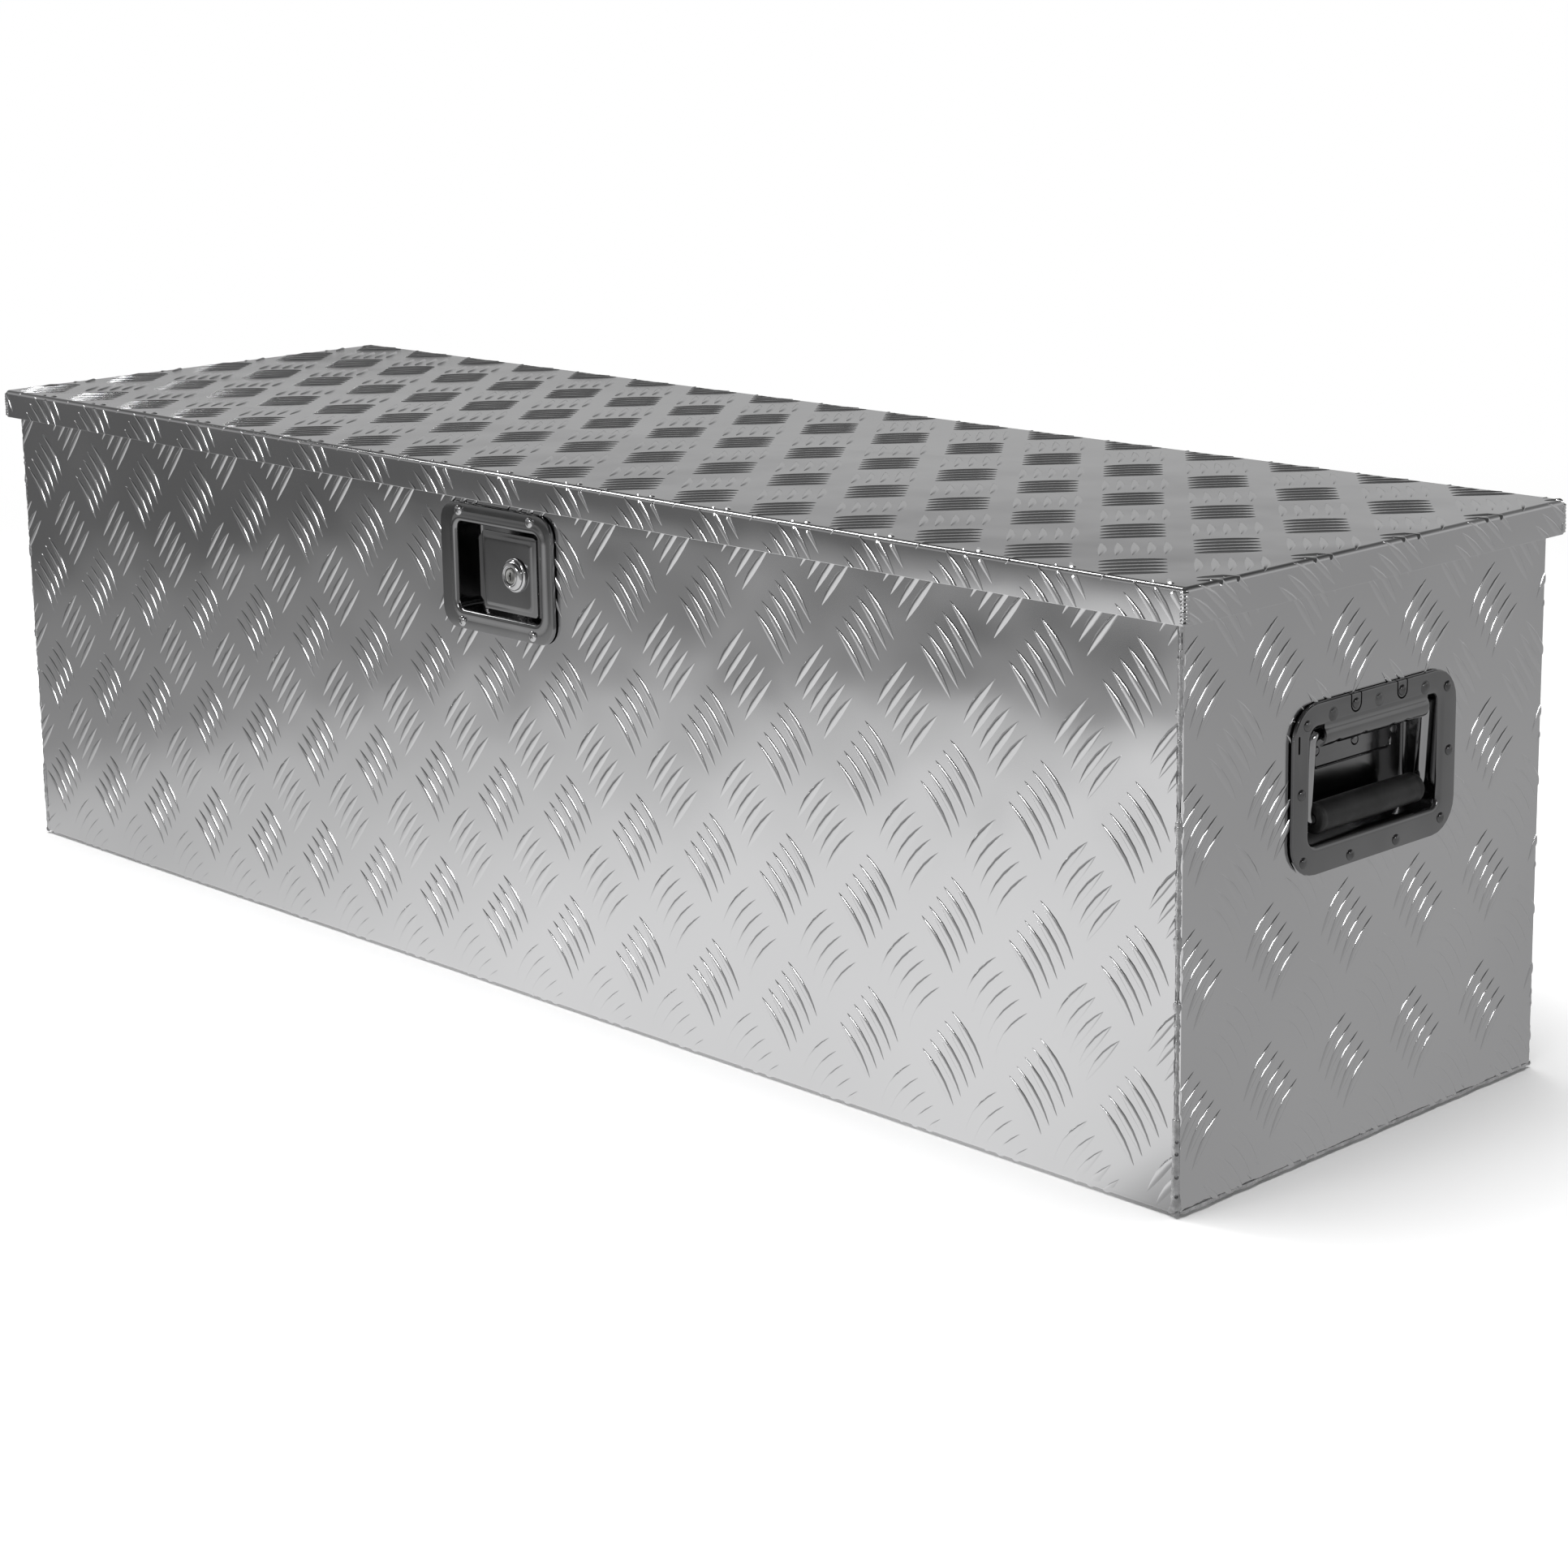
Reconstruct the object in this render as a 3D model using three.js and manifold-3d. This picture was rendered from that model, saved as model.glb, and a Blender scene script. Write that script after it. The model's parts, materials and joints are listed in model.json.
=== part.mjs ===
// A truck tool box: a welded chest of five-bar tread plate with a hinged lid, a flush paddle latch with a
// key lock on the front and a recessed, sprung carrying handle on each end.
// Millimetres, +Z up. The origin is on the ground under the middle of the box, the front faces -Y and the
// lid swings up on a hinge along the back.
import * as THREE from "three";
import { mergeVertices } from "three/addons/utils/BufferGeometryUtils.js";
import Module from "manifold-3d";

const wasm = await Module();
wasm.setup();

// ---- Driving dimensions -----------------------------------------------------------------------------
const LID_LENGTH = 1245;
const LID_DEPTH = 378;
const HEIGHT = 377;
const OVERHANG = 8; // how far the lid stands out past the box on every side
const SKIRT = 23; // height of the lid's turned-down edge
const PLATE = 2.4; // tread plate, measured over its bars
const BEND = 4; // outer radius of a bend in the plate
const GAP = 0.3; // running and assembly clearance

const BOX_X = LID_LENGTH / 2 - OVERHANG; // half length of the box
const BOX_Y = LID_DEPTH / 2 - OVERHANG; // half depth of the box
const RIM_TOP = 369;
const RIM_WIDTH = 24; // turned-in flange round the mouth
const RIM_LIP = 12; // its turned-down lip
const LID_UNDER = HEIGHT - PLATE;

// Hinge along the back, just under the lid's rear skirt.
const HINGE_Y = BOX_Y + 3.3;
const HINGE_Z = HEIGHT - SKIRT - 3.6;
const HINGE_LENGTH = 1180;
const KNUCKLES = 14;
const KNUCKLE_R = 3;
const HINGE_PIN_R = 1.2;
const LEAF = 1.2;

// Paddle latch, in the middle of the front under the lid.
const LOCK_X = 8;
const LOCK_Z = 304.5;
const LOCK_WIDTH = 120;
const LOCK_HEIGHT = 90;
const LOCK_CORNER = 15;
const DISH = { x0: -34, x1: 56, z0: 274, z1: 336, floor: 19, wall: 1.5 };
const PIVOT = { x: 51, y: -(BOX_Y - 4.5) };
const KEY = { x: 28, z: 305 };
const BOLT_Z = 305;
const BOLT_Y = -(BOX_Y - 37);

// Carrying handles, one on each end.
const HANDLE_Z = 234.5;
const HANDLE_WIDTH = 162;
const HANDLE_HEIGHT = 105;
const HANDLE_CORNER = 22;
const WINDOW = { y0: -65, y1: 64, z0: 200, z1: 262 };
const BAIL = { y0: -59, y1: 57, x: BOX_X - 3.5, z: 266, lowX: BOX_X - 7.5, lowZ: 213.5, r: 4, bend: 5 };
const GRIP_R = 9.5;

// Gas struts: where each one is pinned, relative to the hinge line.
const STRUT_X = 576;
const STRUT_LID = { y: HINGE_Y - 80, z: HINGE_Z + 8 };
const STRUT_BOX = { y: HINGE_Y - 135, z: HINGE_Z - 180 };

// ---- Materials --------------------------------------------------------------------------------------
const finish = (color, roughness, metalness) =>
  new THREE.MeshStandardMaterial({ color, roughness, metalness });
const TREAD = finish(0xb9bbbd, 0.28, 1);
const STAINLESS = finish(0x8f9194, 0.18, 1);
const ZINC = finish(0xa9abad, 0.35, 1);
const RUBBER = finish(0x161616, 0.7, 0);
const BLACK = finish(0x1c1c1e, 0.35, 0.4);

// ---- Solids: closed geometries joined and cut -------------------------------------------------------
function solid(geometry) {
  const bare = geometry.index ? geometry.toNonIndexed() : geometry.clone();
  bare.deleteAttribute("normal");
  bare.deleteAttribute("uv");
  const merged = mergeVertices(bare, 1e-4);
  return new wasm.Manifold(
    new wasm.Mesh({
      numProp: 3,
      vertProperties: merged.attributes.position.array,
      triVerts: new Uint32Array(merged.index.array),
    }),
  );
}

function geometryOf(body) {
  const mesh = body.getMesh();
  const geometry = new THREE.BufferGeometry();
  geometry.setAttribute("position", new THREE.BufferAttribute(mesh.vertProperties.slice(), 3));
  geometry.setIndex(new THREE.BufferAttribute(mesh.triVerts.slice(), 1));
  return geometry;
}

const join = (...bodies) => bodies.reduce((all, body) => all.add(body));
const cut = (body, ...tools) => tools.reduce((left, tool) => left.subtract(tool), body);

function block(x0, x1, y0, y1, z0, z1) {
  const geometry = new THREE.BoxGeometry(x1 - x0, y1 - y0, z1 - z0);
  return solid(geometry.translate((x0 + x1) / 2, (y0 + y1) / 2, (z0 + z1) / 2));
}

// A round bar between two points.
function rod(radius, from, to, sides = 12) {
  const start = new THREE.Vector3(...from);
  const along = new THREE.Vector3(...to).sub(start);
  const geometry = new THREE.CylinderGeometry(radius, radius, along.length(), sides);
  const turn = new THREE.Quaternion().setFromUnitVectors(
    new THREE.Vector3(0, 1, 0),
    along.clone().normalize(),
  );
  return solid(geometry.applyQuaternion(turn).translate(...start.addScaledVector(along, 0.5).toArray()));
}

// A turned shape: profile points are [radius, height], turned to point along `axis` from `at`.
function turned(profile, at, axis, sides = 16) {
  const points = profile.map(([r, h]) => new THREE.Vector2(r, h));
  const geometry = new THREE.LatheGeometry(points, sides);
  const turn = new THREE.Quaternion().setFromUnitVectors(
    new THREE.Vector3(0, 1, 0),
    new THREE.Vector3(...axis),
  );
  return solid(geometry.applyQuaternion(turn).translate(...at));
}

function roundedOutline(x0, x1, y0, y1, radius) {
  const shape = new THREE.Shape();
  shape.moveTo(x0 + radius, y0);
  shape.lineTo(x1 - radius, y0);
  shape.absarc(x1 - radius, y0 + radius, radius, -Math.PI / 2, 0);
  shape.lineTo(x1, y1 - radius);
  shape.absarc(x1 - radius, y1 - radius, radius, 0, Math.PI / 2);
  shape.lineTo(x0 + radius, y1);
  shape.absarc(x0 + radius, y1 - radius, radius, Math.PI / 2, Math.PI);
  shape.lineTo(x0, y0 + radius);
  shape.absarc(x0 + radius, y0 + radius, radius, Math.PI, 1.5 * Math.PI);
  return shape;
}

function extruded(shape, depth, curveSegments = 3) {
  return new THREE.ExtrudeGeometry(shape, { depth, curveSegments, bevelEnabled: false });
}

// Extrusions along each axis: the outline's two coordinates are (y, z), (x, z) and (x, y).
const alongX = (shape, x0, x1, segments) =>
  solid(extruded(shape, x1 - x0, segments).rotateX(Math.PI / 2).rotateZ(Math.PI / 2).translate(x0, 0, 0));
const alongY = (shape, y0, y1, segments) =>
  solid(extruded(shape, y1 - y0, segments).rotateX(Math.PI / 2).translate(0, y1, 0));
const alongZ = (shape, z0, z1, segments) => solid(extruded(shape, z1 - z0, segments).translate(0, 0, z0));

class Helix extends THREE.Curve {
  constructor(radius, length, turns) {
    super();
    Object.assign(this, { radius, length, turns });
  }
  getPoint(t, target = new THREE.Vector3()) {
    const angle = 2 * Math.PI * this.turns * t;
    return target.set(this.radius * Math.cos(angle), this.radius * Math.sin(angle), this.length * t);
  }
}

// A round section with twice as many sides as `half`.
function roundSection(radius, half) {
  const shape = new THREE.Shape();
  shape.absarc(0, 0, radius, 0, 2 * Math.PI);
  return new THREE.Shape(shape.getPoints(half));
}

// A coil spring from the origin up +Z, as a geometry.
function coil(radius, wire, length, turns) {
  return new THREE.ExtrudeGeometry(roundSection(wire, 2), {
    steps: Math.round(turns * 8),
    extrudePath: new Helix(radius, length, turns),
  });
}

const dome = (radius, height, at, axis) =>
  turned([[0, 0], [radius, 0], [radius * 0.7, height * 0.8], [0, height]], at, axis, 8);

const group = new THREE.Group();

function place(name, body, material, parent = group) {
  const mesh = new THREE.Mesh(body.isBufferGeometry ? body : geometryOf(body), material);
  mesh.name = name;
  parent.add(mesh);
  return mesh;
}

// ---- The chest --------------------------------------------------------------------------------------
const LOCK_SCREWS = [-38.5, 38.5].flatMap((dx) => [-39.5, 39.5].map((dz) => [LOCK_X + dx, LOCK_Z + dz]));
const SCREW_HOLE_R = 2.3;

const screwHoles = (y0, y1) =>
  LOCK_SCREWS.map(([x, z]) => rod(SCREW_HOLE_R, [x, y0, z], [x, y1, z], 8));

// Front, bottom and back are one folded sheet, with a turned-in rim along the front and the back.
function boxWrap() {
  const x = BOX_X - PLATE - GAP;
  const mouth = BOX_Y - RIM_WIDTH;
  const outside = alongX(roundedOutline(-BOX_Y, BOX_Y, 0, RIM_TOP, BEND), -x, x);
  const inner = roundedOutline(-BOX_Y + PLATE, BOX_Y - PLATE, PLATE, RIM_TOP - PLATE, BEND - PLATE);
  const inside = alongX(inner, -x - 1, x + 1);
  const opening = block(-x - 1, x + 1, -mouth, mouth, RIM_TOP - PLATE - 1, RIM_TOP + 1);
  const lips = [-1, 1].map((side) => {
    const edges = [side * mouth, side * (mouth + PLATE)].sort((a, b) => a - b);
    return block(-x, x, edges[0], edges[1], RIM_TOP - RIM_LIP, RIM_TOP - PLATE / 2);
  });
  const dishHole = alongY(
    roundedOutline(DISH.x0 - 3, DISH.x1 + 3, DISH.z0 - 3, DISH.z1 + 3, 8),
    -BOX_Y - 1,
    -BOX_Y + PLATE + 1,
  );
  return cut(join(cut(outside, inside, opening), ...lips), dishHole, ...screwHoles(-BOX_Y - 1, -BOX_Y + 5));
}

// An end panel closes the folded sheet; its own rim fits between the front and back rims.
function endPanel(side) {
  const mouthY = BOX_Y - RIM_WIDTH - GAP;
  const spanX = (a, b) => [side * a, side * b].sort((p, q) => p - q);
  const panel = alongX(roundedOutline(-BOX_Y, BOX_Y, 0, RIM_TOP, BEND), ...spanX(BOX_X - PLATE, BOX_X));
  const rim = block(...spanX(BOX_X - RIM_WIDTH, BOX_X - 1), -mouthY, mouthY, RIM_TOP - PLATE, RIM_TOP);
  const lip = block(
    ...spanX(BOX_X - RIM_WIDTH, BOX_X - RIM_WIDTH + PLATE),
    -mouthY,
    mouthY,
    RIM_TOP - RIM_LIP,
    RIM_TOP,
  );
  const margin = 3;
  const ends = [side * (WINDOW.y0 - margin), side * (WINDOW.y1 + margin)].sort((a, b) => a - b);
  const outline = roundedOutline(ends[0], ends[1], WINDOW.z0 - margin, CHANNEL_TOP + margin, 8);
  const handleHole = alongX(outline, ...spanX(BOX_X - 5, BOX_X + 1));
  return cut(join(panel, rim, lip), handleHole);
}

// The seal lies on the rim and is pressed by the lid.
function rimSeal() {
  const [outX, outY, width] = [BOX_X - 6, BOX_Y - 6, 12];
  const outline = roundedOutline(-outX, outX, -outY, outY, 10);
  outline.holes.push(roundedOutline(-outX + width, outX - width, -outY + width, outY - width, 4));
  return alongZ(outline, RIM_TOP + GAP, LID_UNDER - GAP, 4);
}

// ---- The lid ----------------------------------------------------------------------------------------
function lidPan() {
  const [x, y] = [LID_LENGTH / 2, LID_DEPTH / 2];
  const low = HEIGHT - SKIRT;
  const shell = (inset, radius, bottom) => {
    const across = alongX(roundedOutline(-y + inset, y - inset, bottom - 20, HEIGHT - inset, radius), -x, x);
    const lengthwise = alongY(
      roundedOutline(-x + inset, x - inset, bottom - 20, HEIGHT - inset, radius),
      -y,
      y,
    );
    return across.intersect(lengthwise);
  };
  const below = block(-x - 1, x + 1, -y - 1, y + 1, low - 30, low);
  return cut(shell(0, BEND, low), shell(PLATE, BEND - PLATE, low), below);
}

// A hat channel across the underside of the lid.
function lidStiffener(x) {
  const [half, foot, deep, sheet] = [20, 32, 12, 1.5];
  const top = LID_UNDER - GAP;
  const shape = new THREE.Shape();
  const right = [
    [half, top - deep],
    [half, top - sheet],
    [foot, top - sheet],
    [foot, top],
    [half - sheet, top],
    [half - sheet, top - deep + sheet],
  ];
  const left = right.map(([u, z]) => [-u, z]).reverse();
  const outline = [...right, ...left];
  outline.forEach(([u, z], i) => (i ? shape.lineTo(x + u, z) : shape.moveTo(x + u, z)));
  return alongY(shape, -BOX_Y + 45, BOX_Y - 35);
}

// ---- The hinge --------------------------------------------------------------------------------------
// A leaf is a strip with every other knuckle of the row; `up` is 1 for the lid's leaf, -1 for the box's.
function hingeLeaf(up, faceY, reach, rivetSide) {
  const half = HINGE_LENGTH / 2;
  const pitch = HINGE_LENGTH / KNUCKLES;
  const near = KNUCKLE_R + 0.8;
  const span = (a, b) => [HINGE_Z + up * a, HINGE_Z + up * b].sort((p, q) => p - q);
  let leaf = block(-half, half, faceY, faceY + LEAF, ...span(near, reach));
  for (let i = up > 0 ? 1 : 0; i < KNUCKLES; i += 2) {
    const x0 = -half + i * pitch + GAP;
    const x1 = x0 + pitch - 2 * GAP;
    leaf = join(
      leaf,
      block(x0, x1, faceY, faceY + LEAF, ...span(0, near + 0.5)),
      rod(KNUCKLE_R, [x0, HINGE_Y, HINGE_Z], [x1, HINGE_Y, HINGE_Z], 10),
    );
  }
  leaf = cut(
    leaf,
    rod(HINGE_PIN_R + GAP, [-half - 1, HINGE_Y, HINGE_Z], [half + 1, HINGE_Y, HINGE_Z], 8),
  );
  const rivets = 7;
  for (let i = 0; i < rivets; i++) {
    const x = -half + (HINGE_LENGTH * (i + 0.5)) / rivets;
    const y = rivetSide > 0 ? faceY + LEAF - 0.1 : faceY + 0.1;
    const z = HINGE_Z + up * (reach * 0.62);
    leaf = join(leaf, dome(3, 1.2, [x, y, z], [0, rivetSide, 0]));
  }
  return leaf;
}

// ---- The paddle latch -------------------------------------------------------------------------------
const FACE_Y = -BOX_Y; // front face of the plate, over its bars
const FLANGE_Y = FACE_Y - 1.3; // back of the latch's flange
const FLANGE_FRONT = FLANGE_Y - 1.8;
const DISH_FLOOR = FACE_Y + DISH.floor;

function lockOutline(inset) {
  const [w, h] = [LOCK_WIDTH / 2 - inset, LOCK_HEIGHT / 2 - inset];
  return roundedOutline(LOCK_X - w, LOCK_X + w, LOCK_Z - h, LOCK_Z + h, LOCK_CORNER - inset);
}

const dishOutline = (grow, radius) =>
  roundedOutline(DISH.x0 - grow, DISH.x1 + grow, DISH.z0 - grow, DISH.z1 + grow, radius);

const ARM = { x0: PIVOT.x - 1.5, x1: PIVOT.x + 1.5, z0: BOLT_Z - 5, z1: BOLT_Z + 5 };
const BOLT_HALF = 5; // half thickness of the bolt along Y

function lockPlate() {
  const flange = alongY(lockOutline(0), FLANGE_FRONT, FLANGE_Y, 4);
  const bead = alongY(dishOutline(4.1, 10), FLANGE_FRONT - 1.5, FLANGE_Y, 4);
  const cup = alongY(dishOutline(DISH.wall, 6), FLANGE_Y - 0.5, DISH_FLOOR + DISH.wall);
  const hollow = alongY(dishOutline(0, 5), FLANGE_FRONT - 3, DISH_FLOOR);
  const armSlot = block(36, 54.5, DISH_FLOOR - 1, DISH_FLOOR + 3, ARM.z0 - 1.5, ARM.z1 + 1.5);
  return cut(join(flange, bead, cup), hollow, armSlot, ...screwHoles(FLANGE_FRONT - 1, FLANGE_Y + 1));
}

function lockGasket() {
  const outline = lockOutline(0.6);
  outline.holes.push(dishOutline(3, 8));
  return cut(alongY(outline, FACE_Y - 1, FACE_Y - GAP), ...screwHoles(FACE_Y - 2, FACE_Y));
}

function lockRetainer() {
  const back = FACE_Y + PLATE + GAP;
  const outline = lockOutline(3);
  outline.holes.push(dishOutline(4, 8));
  return cut(alongY(outline, back, back + 1.5), ...screwHoles(back - 1, back + 3));
}

const NUT_Y = FACE_Y + PLATE + 2 * GAP + 1.5;

function lockScrew(x, z) {
  const y = FLANGE_FRONT - GAP;
  const head = [[0, 0], [3.6, 0], [3.4, 1.2], [2.2, 2.1], [0, 2.3]];
  const shank = rod(1.9, [x, y - 0.5, z], [x, NUT_Y + 4.5, z], 8);
  const body = join(turned(head, [x, y, z], [0, -1, 0], 12), shank);
  const slots = [block(x - 2, x + 2, y - 3, y - 1.2, z - 0.4, z + 0.4)];
  slots.push(block(x - 0.4, x + 0.4, y - 3, y - 1.2, z - 2, z + 2));
  return cut(body, ...slots);
}

const lockNut = (x, z) =>
  cut(rod(4, [x, NUT_Y, z], [x, NUT_Y + 3, z], 6), rod(2.2, [x, NUT_Y - 1, z], [x, NUT_Y + 4, z], 8));

const PADDLE_FRONT = FACE_Y - 1.2;
const PADDLE_BACK = PADDLE_FRONT + 1.7;
const PADDLE_Z = [277, 333];
const EAR_R = 4.2;
const PADDLE_PIN_R = 1.8;
const KEY_BARREL_R = 8.5;

// The paddle: a pressed plate with a set-back finger lip, two ears on the pin, and an arm to the bolt.
function paddle() {
  const [low, high] = PADDLE_Z;
  const panel = alongY(roundedOutline(-9, 49.5, low, high, 3), PADDLE_FRONT, PADDLE_BACK);
  const step = block(-9, -7, PADDLE_FRONT + 1, PADDLE_BACK + 3.4, low + 4, high - 4);
  const lip = alongY(roundedOutline(-17, -7.5, low + 4, high - 4, 3.5), PADDLE_BACK + 1.8, PADDLE_BACK + 3.4);
  const knuckle = (z0, z1) =>
    join(
      rod(EAR_R, [PIVOT.x, PIVOT.y, z0], [PIVOT.x, PIVOT.y, z1], 12),
      block(34, PIVOT.x - 1, PIVOT.y - EAR_R, PIVOT.y + EAR_R, z0, z1),
    );
  const boss = join(
    rod(EAR_R, [PIVOT.x, PIVOT.y, ARM.z0], [PIVOT.x, PIVOT.y, ARM.z1], 12),
    block(44, PIVOT.x - 1, PIVOT.y - EAR_R, PIVOT.y + 1, ARM.z0, ARM.z1),
  );
  const arm = block(ARM.x0, ARM.x1, PIVOT.y + 1, BOLT_Y + BOLT_HALF - 1, ARM.z0, ARM.z1);
  const ears = [knuckle(low, low + 2), knuckle(high - 2, high)];
  const pinHole = rod(PADDLE_PIN_R + GAP, [PIVOT.x, PIVOT.y, low - 1], [PIVOT.x, PIVOT.y, high + 1], 10);
  const keyHole = rod(
    KEY_BARREL_R + GAP,
    [KEY.x, PADDLE_FRONT - 1, KEY.z],
    [KEY.x, PADDLE_BACK + 1, KEY.z],
    16,
  );
  return cut(join(panel, step, lip, boss, arm, ...ears), pinHole, keyHole);
}

const paddlePin = () =>
  rod(PADDLE_PIN_R, [PIVOT.x, PIVOT.y, DISH.z0 + 0.4], [PIVOT.x, PIVOT.y, DISH.z1 - 0.4], 10);

const PLUG_R = 5.5;

function keyHousing() {
  const front = PADDLE_FRONT - GAP;
  const tail = 15.5; // how far the barrel reaches behind the front of the paddle
  const inner = PLUG_R + GAP;
  const profile = [
    [inner, -tail],
    [KEY_BARREL_R, -tail],
    [KEY_BARREL_R, 0],
    [12, 0],
    [12, 1.6],
    [11, 2.2],
    [10.2, 4.2],
    [8.3, 5.6],
    [inner, 5.7],
    [inner, -tail],
  ];
  return turned(profile, [KEY.x, front, KEY.z], [0, -1, 0], 16);
}

const PLUG_TAIL = PADDLE_FRONT + 17;

function keyPlug() {
  const front = PADDLE_FRONT - GAP - 5.2;
  const plug = rod(PLUG_R, [KEY.x, front, KEY.z], [KEY.x, PLUG_TAIL, KEY.z], 14);
  return cut(plug, block(KEY.x - 0.6, KEY.x + 0.6, front - 1, front + 8, KEY.z - 3.2, KEY.z + 2.6));
}

function keyCam() {
  const y = PLUG_TAIL + GAP;
  return alongY(roundedOutline(KEY.x - 4.5, KEY.x + 4.5, KEY.z - 15, KEY.z + 4.5, 4), y, y + 1.4);
}

const CASE = { x0: -32, x1: 64, y0: DISH_FLOOR + DISH.wall + GAP, y1: BOLT_Y + 7.5, half: 11 };
const BOLT = { x0: 5, x1: 82, nose: 12, half: 5.7 };

function latchCase() {
  const body = block(CASE.x0, CASE.x1, CASE.y0, CASE.y1, BOLT_Z - CASE.half, BOLT_Z + CASE.half);
  const side = BOLT_HALF + GAP;
  const high = BOLT.half + GAP;
  const channel = block(CASE.x0 + 2, CASE.x1 + 1, BOLT_Y - side, BOLT_Y + side, BOLT_Z - high, BOLT_Z + high);
  const slot = block(34, 54.5, CASE.y0 - 1, BOLT_Y, ARM.z0 - 0.7, ARM.z1 + 0.7);
  return cut(body, channel, slot);
}

// The bolt: its slanted nose lets the lid push past it, and the paddle's arm draws it back.
function latchBolt() {
  const shape = new THREE.Shape();
  shape.moveTo(BOLT.x0, BOLT_Z - BOLT.half);
  shape.lineTo(BOLT.x1, BOLT_Z - BOLT.half);
  shape.lineTo(BOLT.x1, BOLT_Z - BOLT.half + 2);
  shape.lineTo(BOLT.x1 - BOLT.nose, BOLT_Z + BOLT.half);
  shape.lineTo(BOLT.x0, BOLT_Z + BOLT.half);
  const body = alongY(shape, BOLT_Y - BOLT_HALF, BOLT_Y + BOLT_HALF);
  const pocket = block(
    PIVOT.x - 4.6,
    PIVOT.x + 3.4,
    BOLT_Y - BOLT_HALF - 1,
    BOLT_Y + BOLT_HALF + 1,
    ARM.z0 - 0.4,
    ARM.z1 + 0.4,
  );
  return cut(body, pocket);
}

const STRIKER_X = 70;

// The striker hangs from the lid: the bolt's nose goes through its window.
function striker() {
  const top = LID_UNDER - GAP;
  const foot = block(STRIKER_X - 12, STRIKER_X + 22, BOLT_Y - 7.5, BOLT_Y + 17, top - 2, top);
  const blade = block(
    STRIKER_X,
    STRIKER_X + 3,
    BOLT_Y - 7.5,
    BOLT_Y + 7.5,
    BOLT_Z - BOLT.half - 8,
    top - 1,
  );
  const window = block(
    STRIKER_X - 1,
    STRIKER_X + 4,
    BOLT_Y - BOLT_HALF - 0.7,
    BOLT_Y + BOLT_HALF + 0.7,
    BOLT_Z - BOLT.half - 1,
    BOLT_Z + BOLT.half + 1.5,
  );
  return cut(join(foot, blade), window);
}

// ---- Carrying handles: built for the right end, and turned half way round for the left --------------
const CHANNEL_R = 6.5; // inside of the rolled channel that holds the handle's bar
const CHANNEL_TOP = BAIL.z + 5.5; // top of the dish behind the channel
const HANDLE_BACK = BOX_X + 1.2;
const HANDLE_FRONT = HANDLE_BACK + 1.5;
const HANDLE_FLOOR = BOX_X - 24.5;
const HANDLE_RIVETS = [
  [-71, 192],
  [-25, 187.5],
  [21, 187.5],
  [67, 192],
  [-74, 234],
  [74, 234],
  [-69, 275],
  [71, 275],
  [-22, 279.5],
  [24, 279.5],
];

function handleOutline(inset) {
  const [w, h] = [HANDLE_WIDTH / 2 - inset, HANDLE_HEIGHT / 2 - inset];
  return roundedOutline(-w, w, HANDLE_Z - h, HANDLE_Z + h, HANDLE_CORNER - inset);
}

// Flange and drawn dish in one pressing, with the lip rolled over the bar and the rivets that fix it.
function handlePlate() {
  const { y0, y1, z0, z1 } = WINDOW;
  const wall = 1.5;
  const flange = alongX(handleOutline(0), HANDLE_BACK, HANDLE_FRONT, 4);
  const cup = alongX(
    roundedOutline(y0 - wall, y1 + wall, z0 - wall, CHANNEL_TOP + wall, 7),
    HANDLE_FLOOR - wall,
    HANDLE_BACK + 0.2,
  );
  const hollow = alongX(roundedOutline(y0, y1, z0, CHANNEL_TOP, 6), HANDLE_FLOOR, HANDLE_BACK);
  const window = alongX(roundedOutline(y0, y1, z0, z1, 6), HANDLE_BACK - 1, HANDLE_FRONT + 1);
  const along = (r, a, b) => rod(r, [BAIL.x, a, BAIL.z], [BAIL.x, b, BAIL.z], 20);
  const roll = cut(
    along(CHANNEL_R + 1.4, y0, y1),
    along(CHANNEL_R, y0 - 1, y1 + 1),
    block(BAIL.x - 10, BOX_X + 2 * GAP, y0 - 1, y1 + 1, BAIL.z - 10, BAIL.z + 10),
  );
  const notches = [BAIL.y0, BAIL.y1].map((y) =>
    block(BAIL.x - 5, HANDLE_FRONT + 4, y - 5.5, y + 5.5, z1 - 8, BAIL.z + 5.5),
  );
  const heads = HANDLE_RIVETS.map(([y, z]) => dome(4, 1.7, [HANDLE_FRONT - 0.1, y, z], [1, 0, 0]));
  const sheet = cut(join(flange, cup), hollow, window, along(CHANNEL_R, y0 + 0.2, y1 - 0.2));
  return join(cut(join(sheet, roll), ...notches), ...heads);
}

function handleGasket() {
  const outline = handleOutline(0.8);
  outline.holes.push(roundedOutline(WINDOW.y0 - 3, WINDOW.y1 + 3, WINDOW.z0 - 3, CHANNEL_TOP + 3, 8));
  return alongX(outline, BOX_X + GAP, HANDLE_BACK - GAP);
}

// The bracket riveted inside the dish, behind the bar.
function handleBracket() {
  const x = HANDLE_FLOOR + GAP;
  const strip = block(x, x + 1.2, WINDOW.y0 + 7, WINDOW.y1 - 7, 243, CHANNEL_TOP - GAP);
  const ledge = block(x, x + 13, WINDOW.y0 + 7, WINDOW.y1 - 7, CHANNEL_TOP - GAP - 1.2, CHANNEL_TOP - GAP);
  const heads = [-42, 0, 42].map((y) => dome(3.5, 1.4, [x + 1.1, y - 0.5, 250], [1, 0, 0]));
  return join(strip, ledge, ...heads);
}

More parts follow.
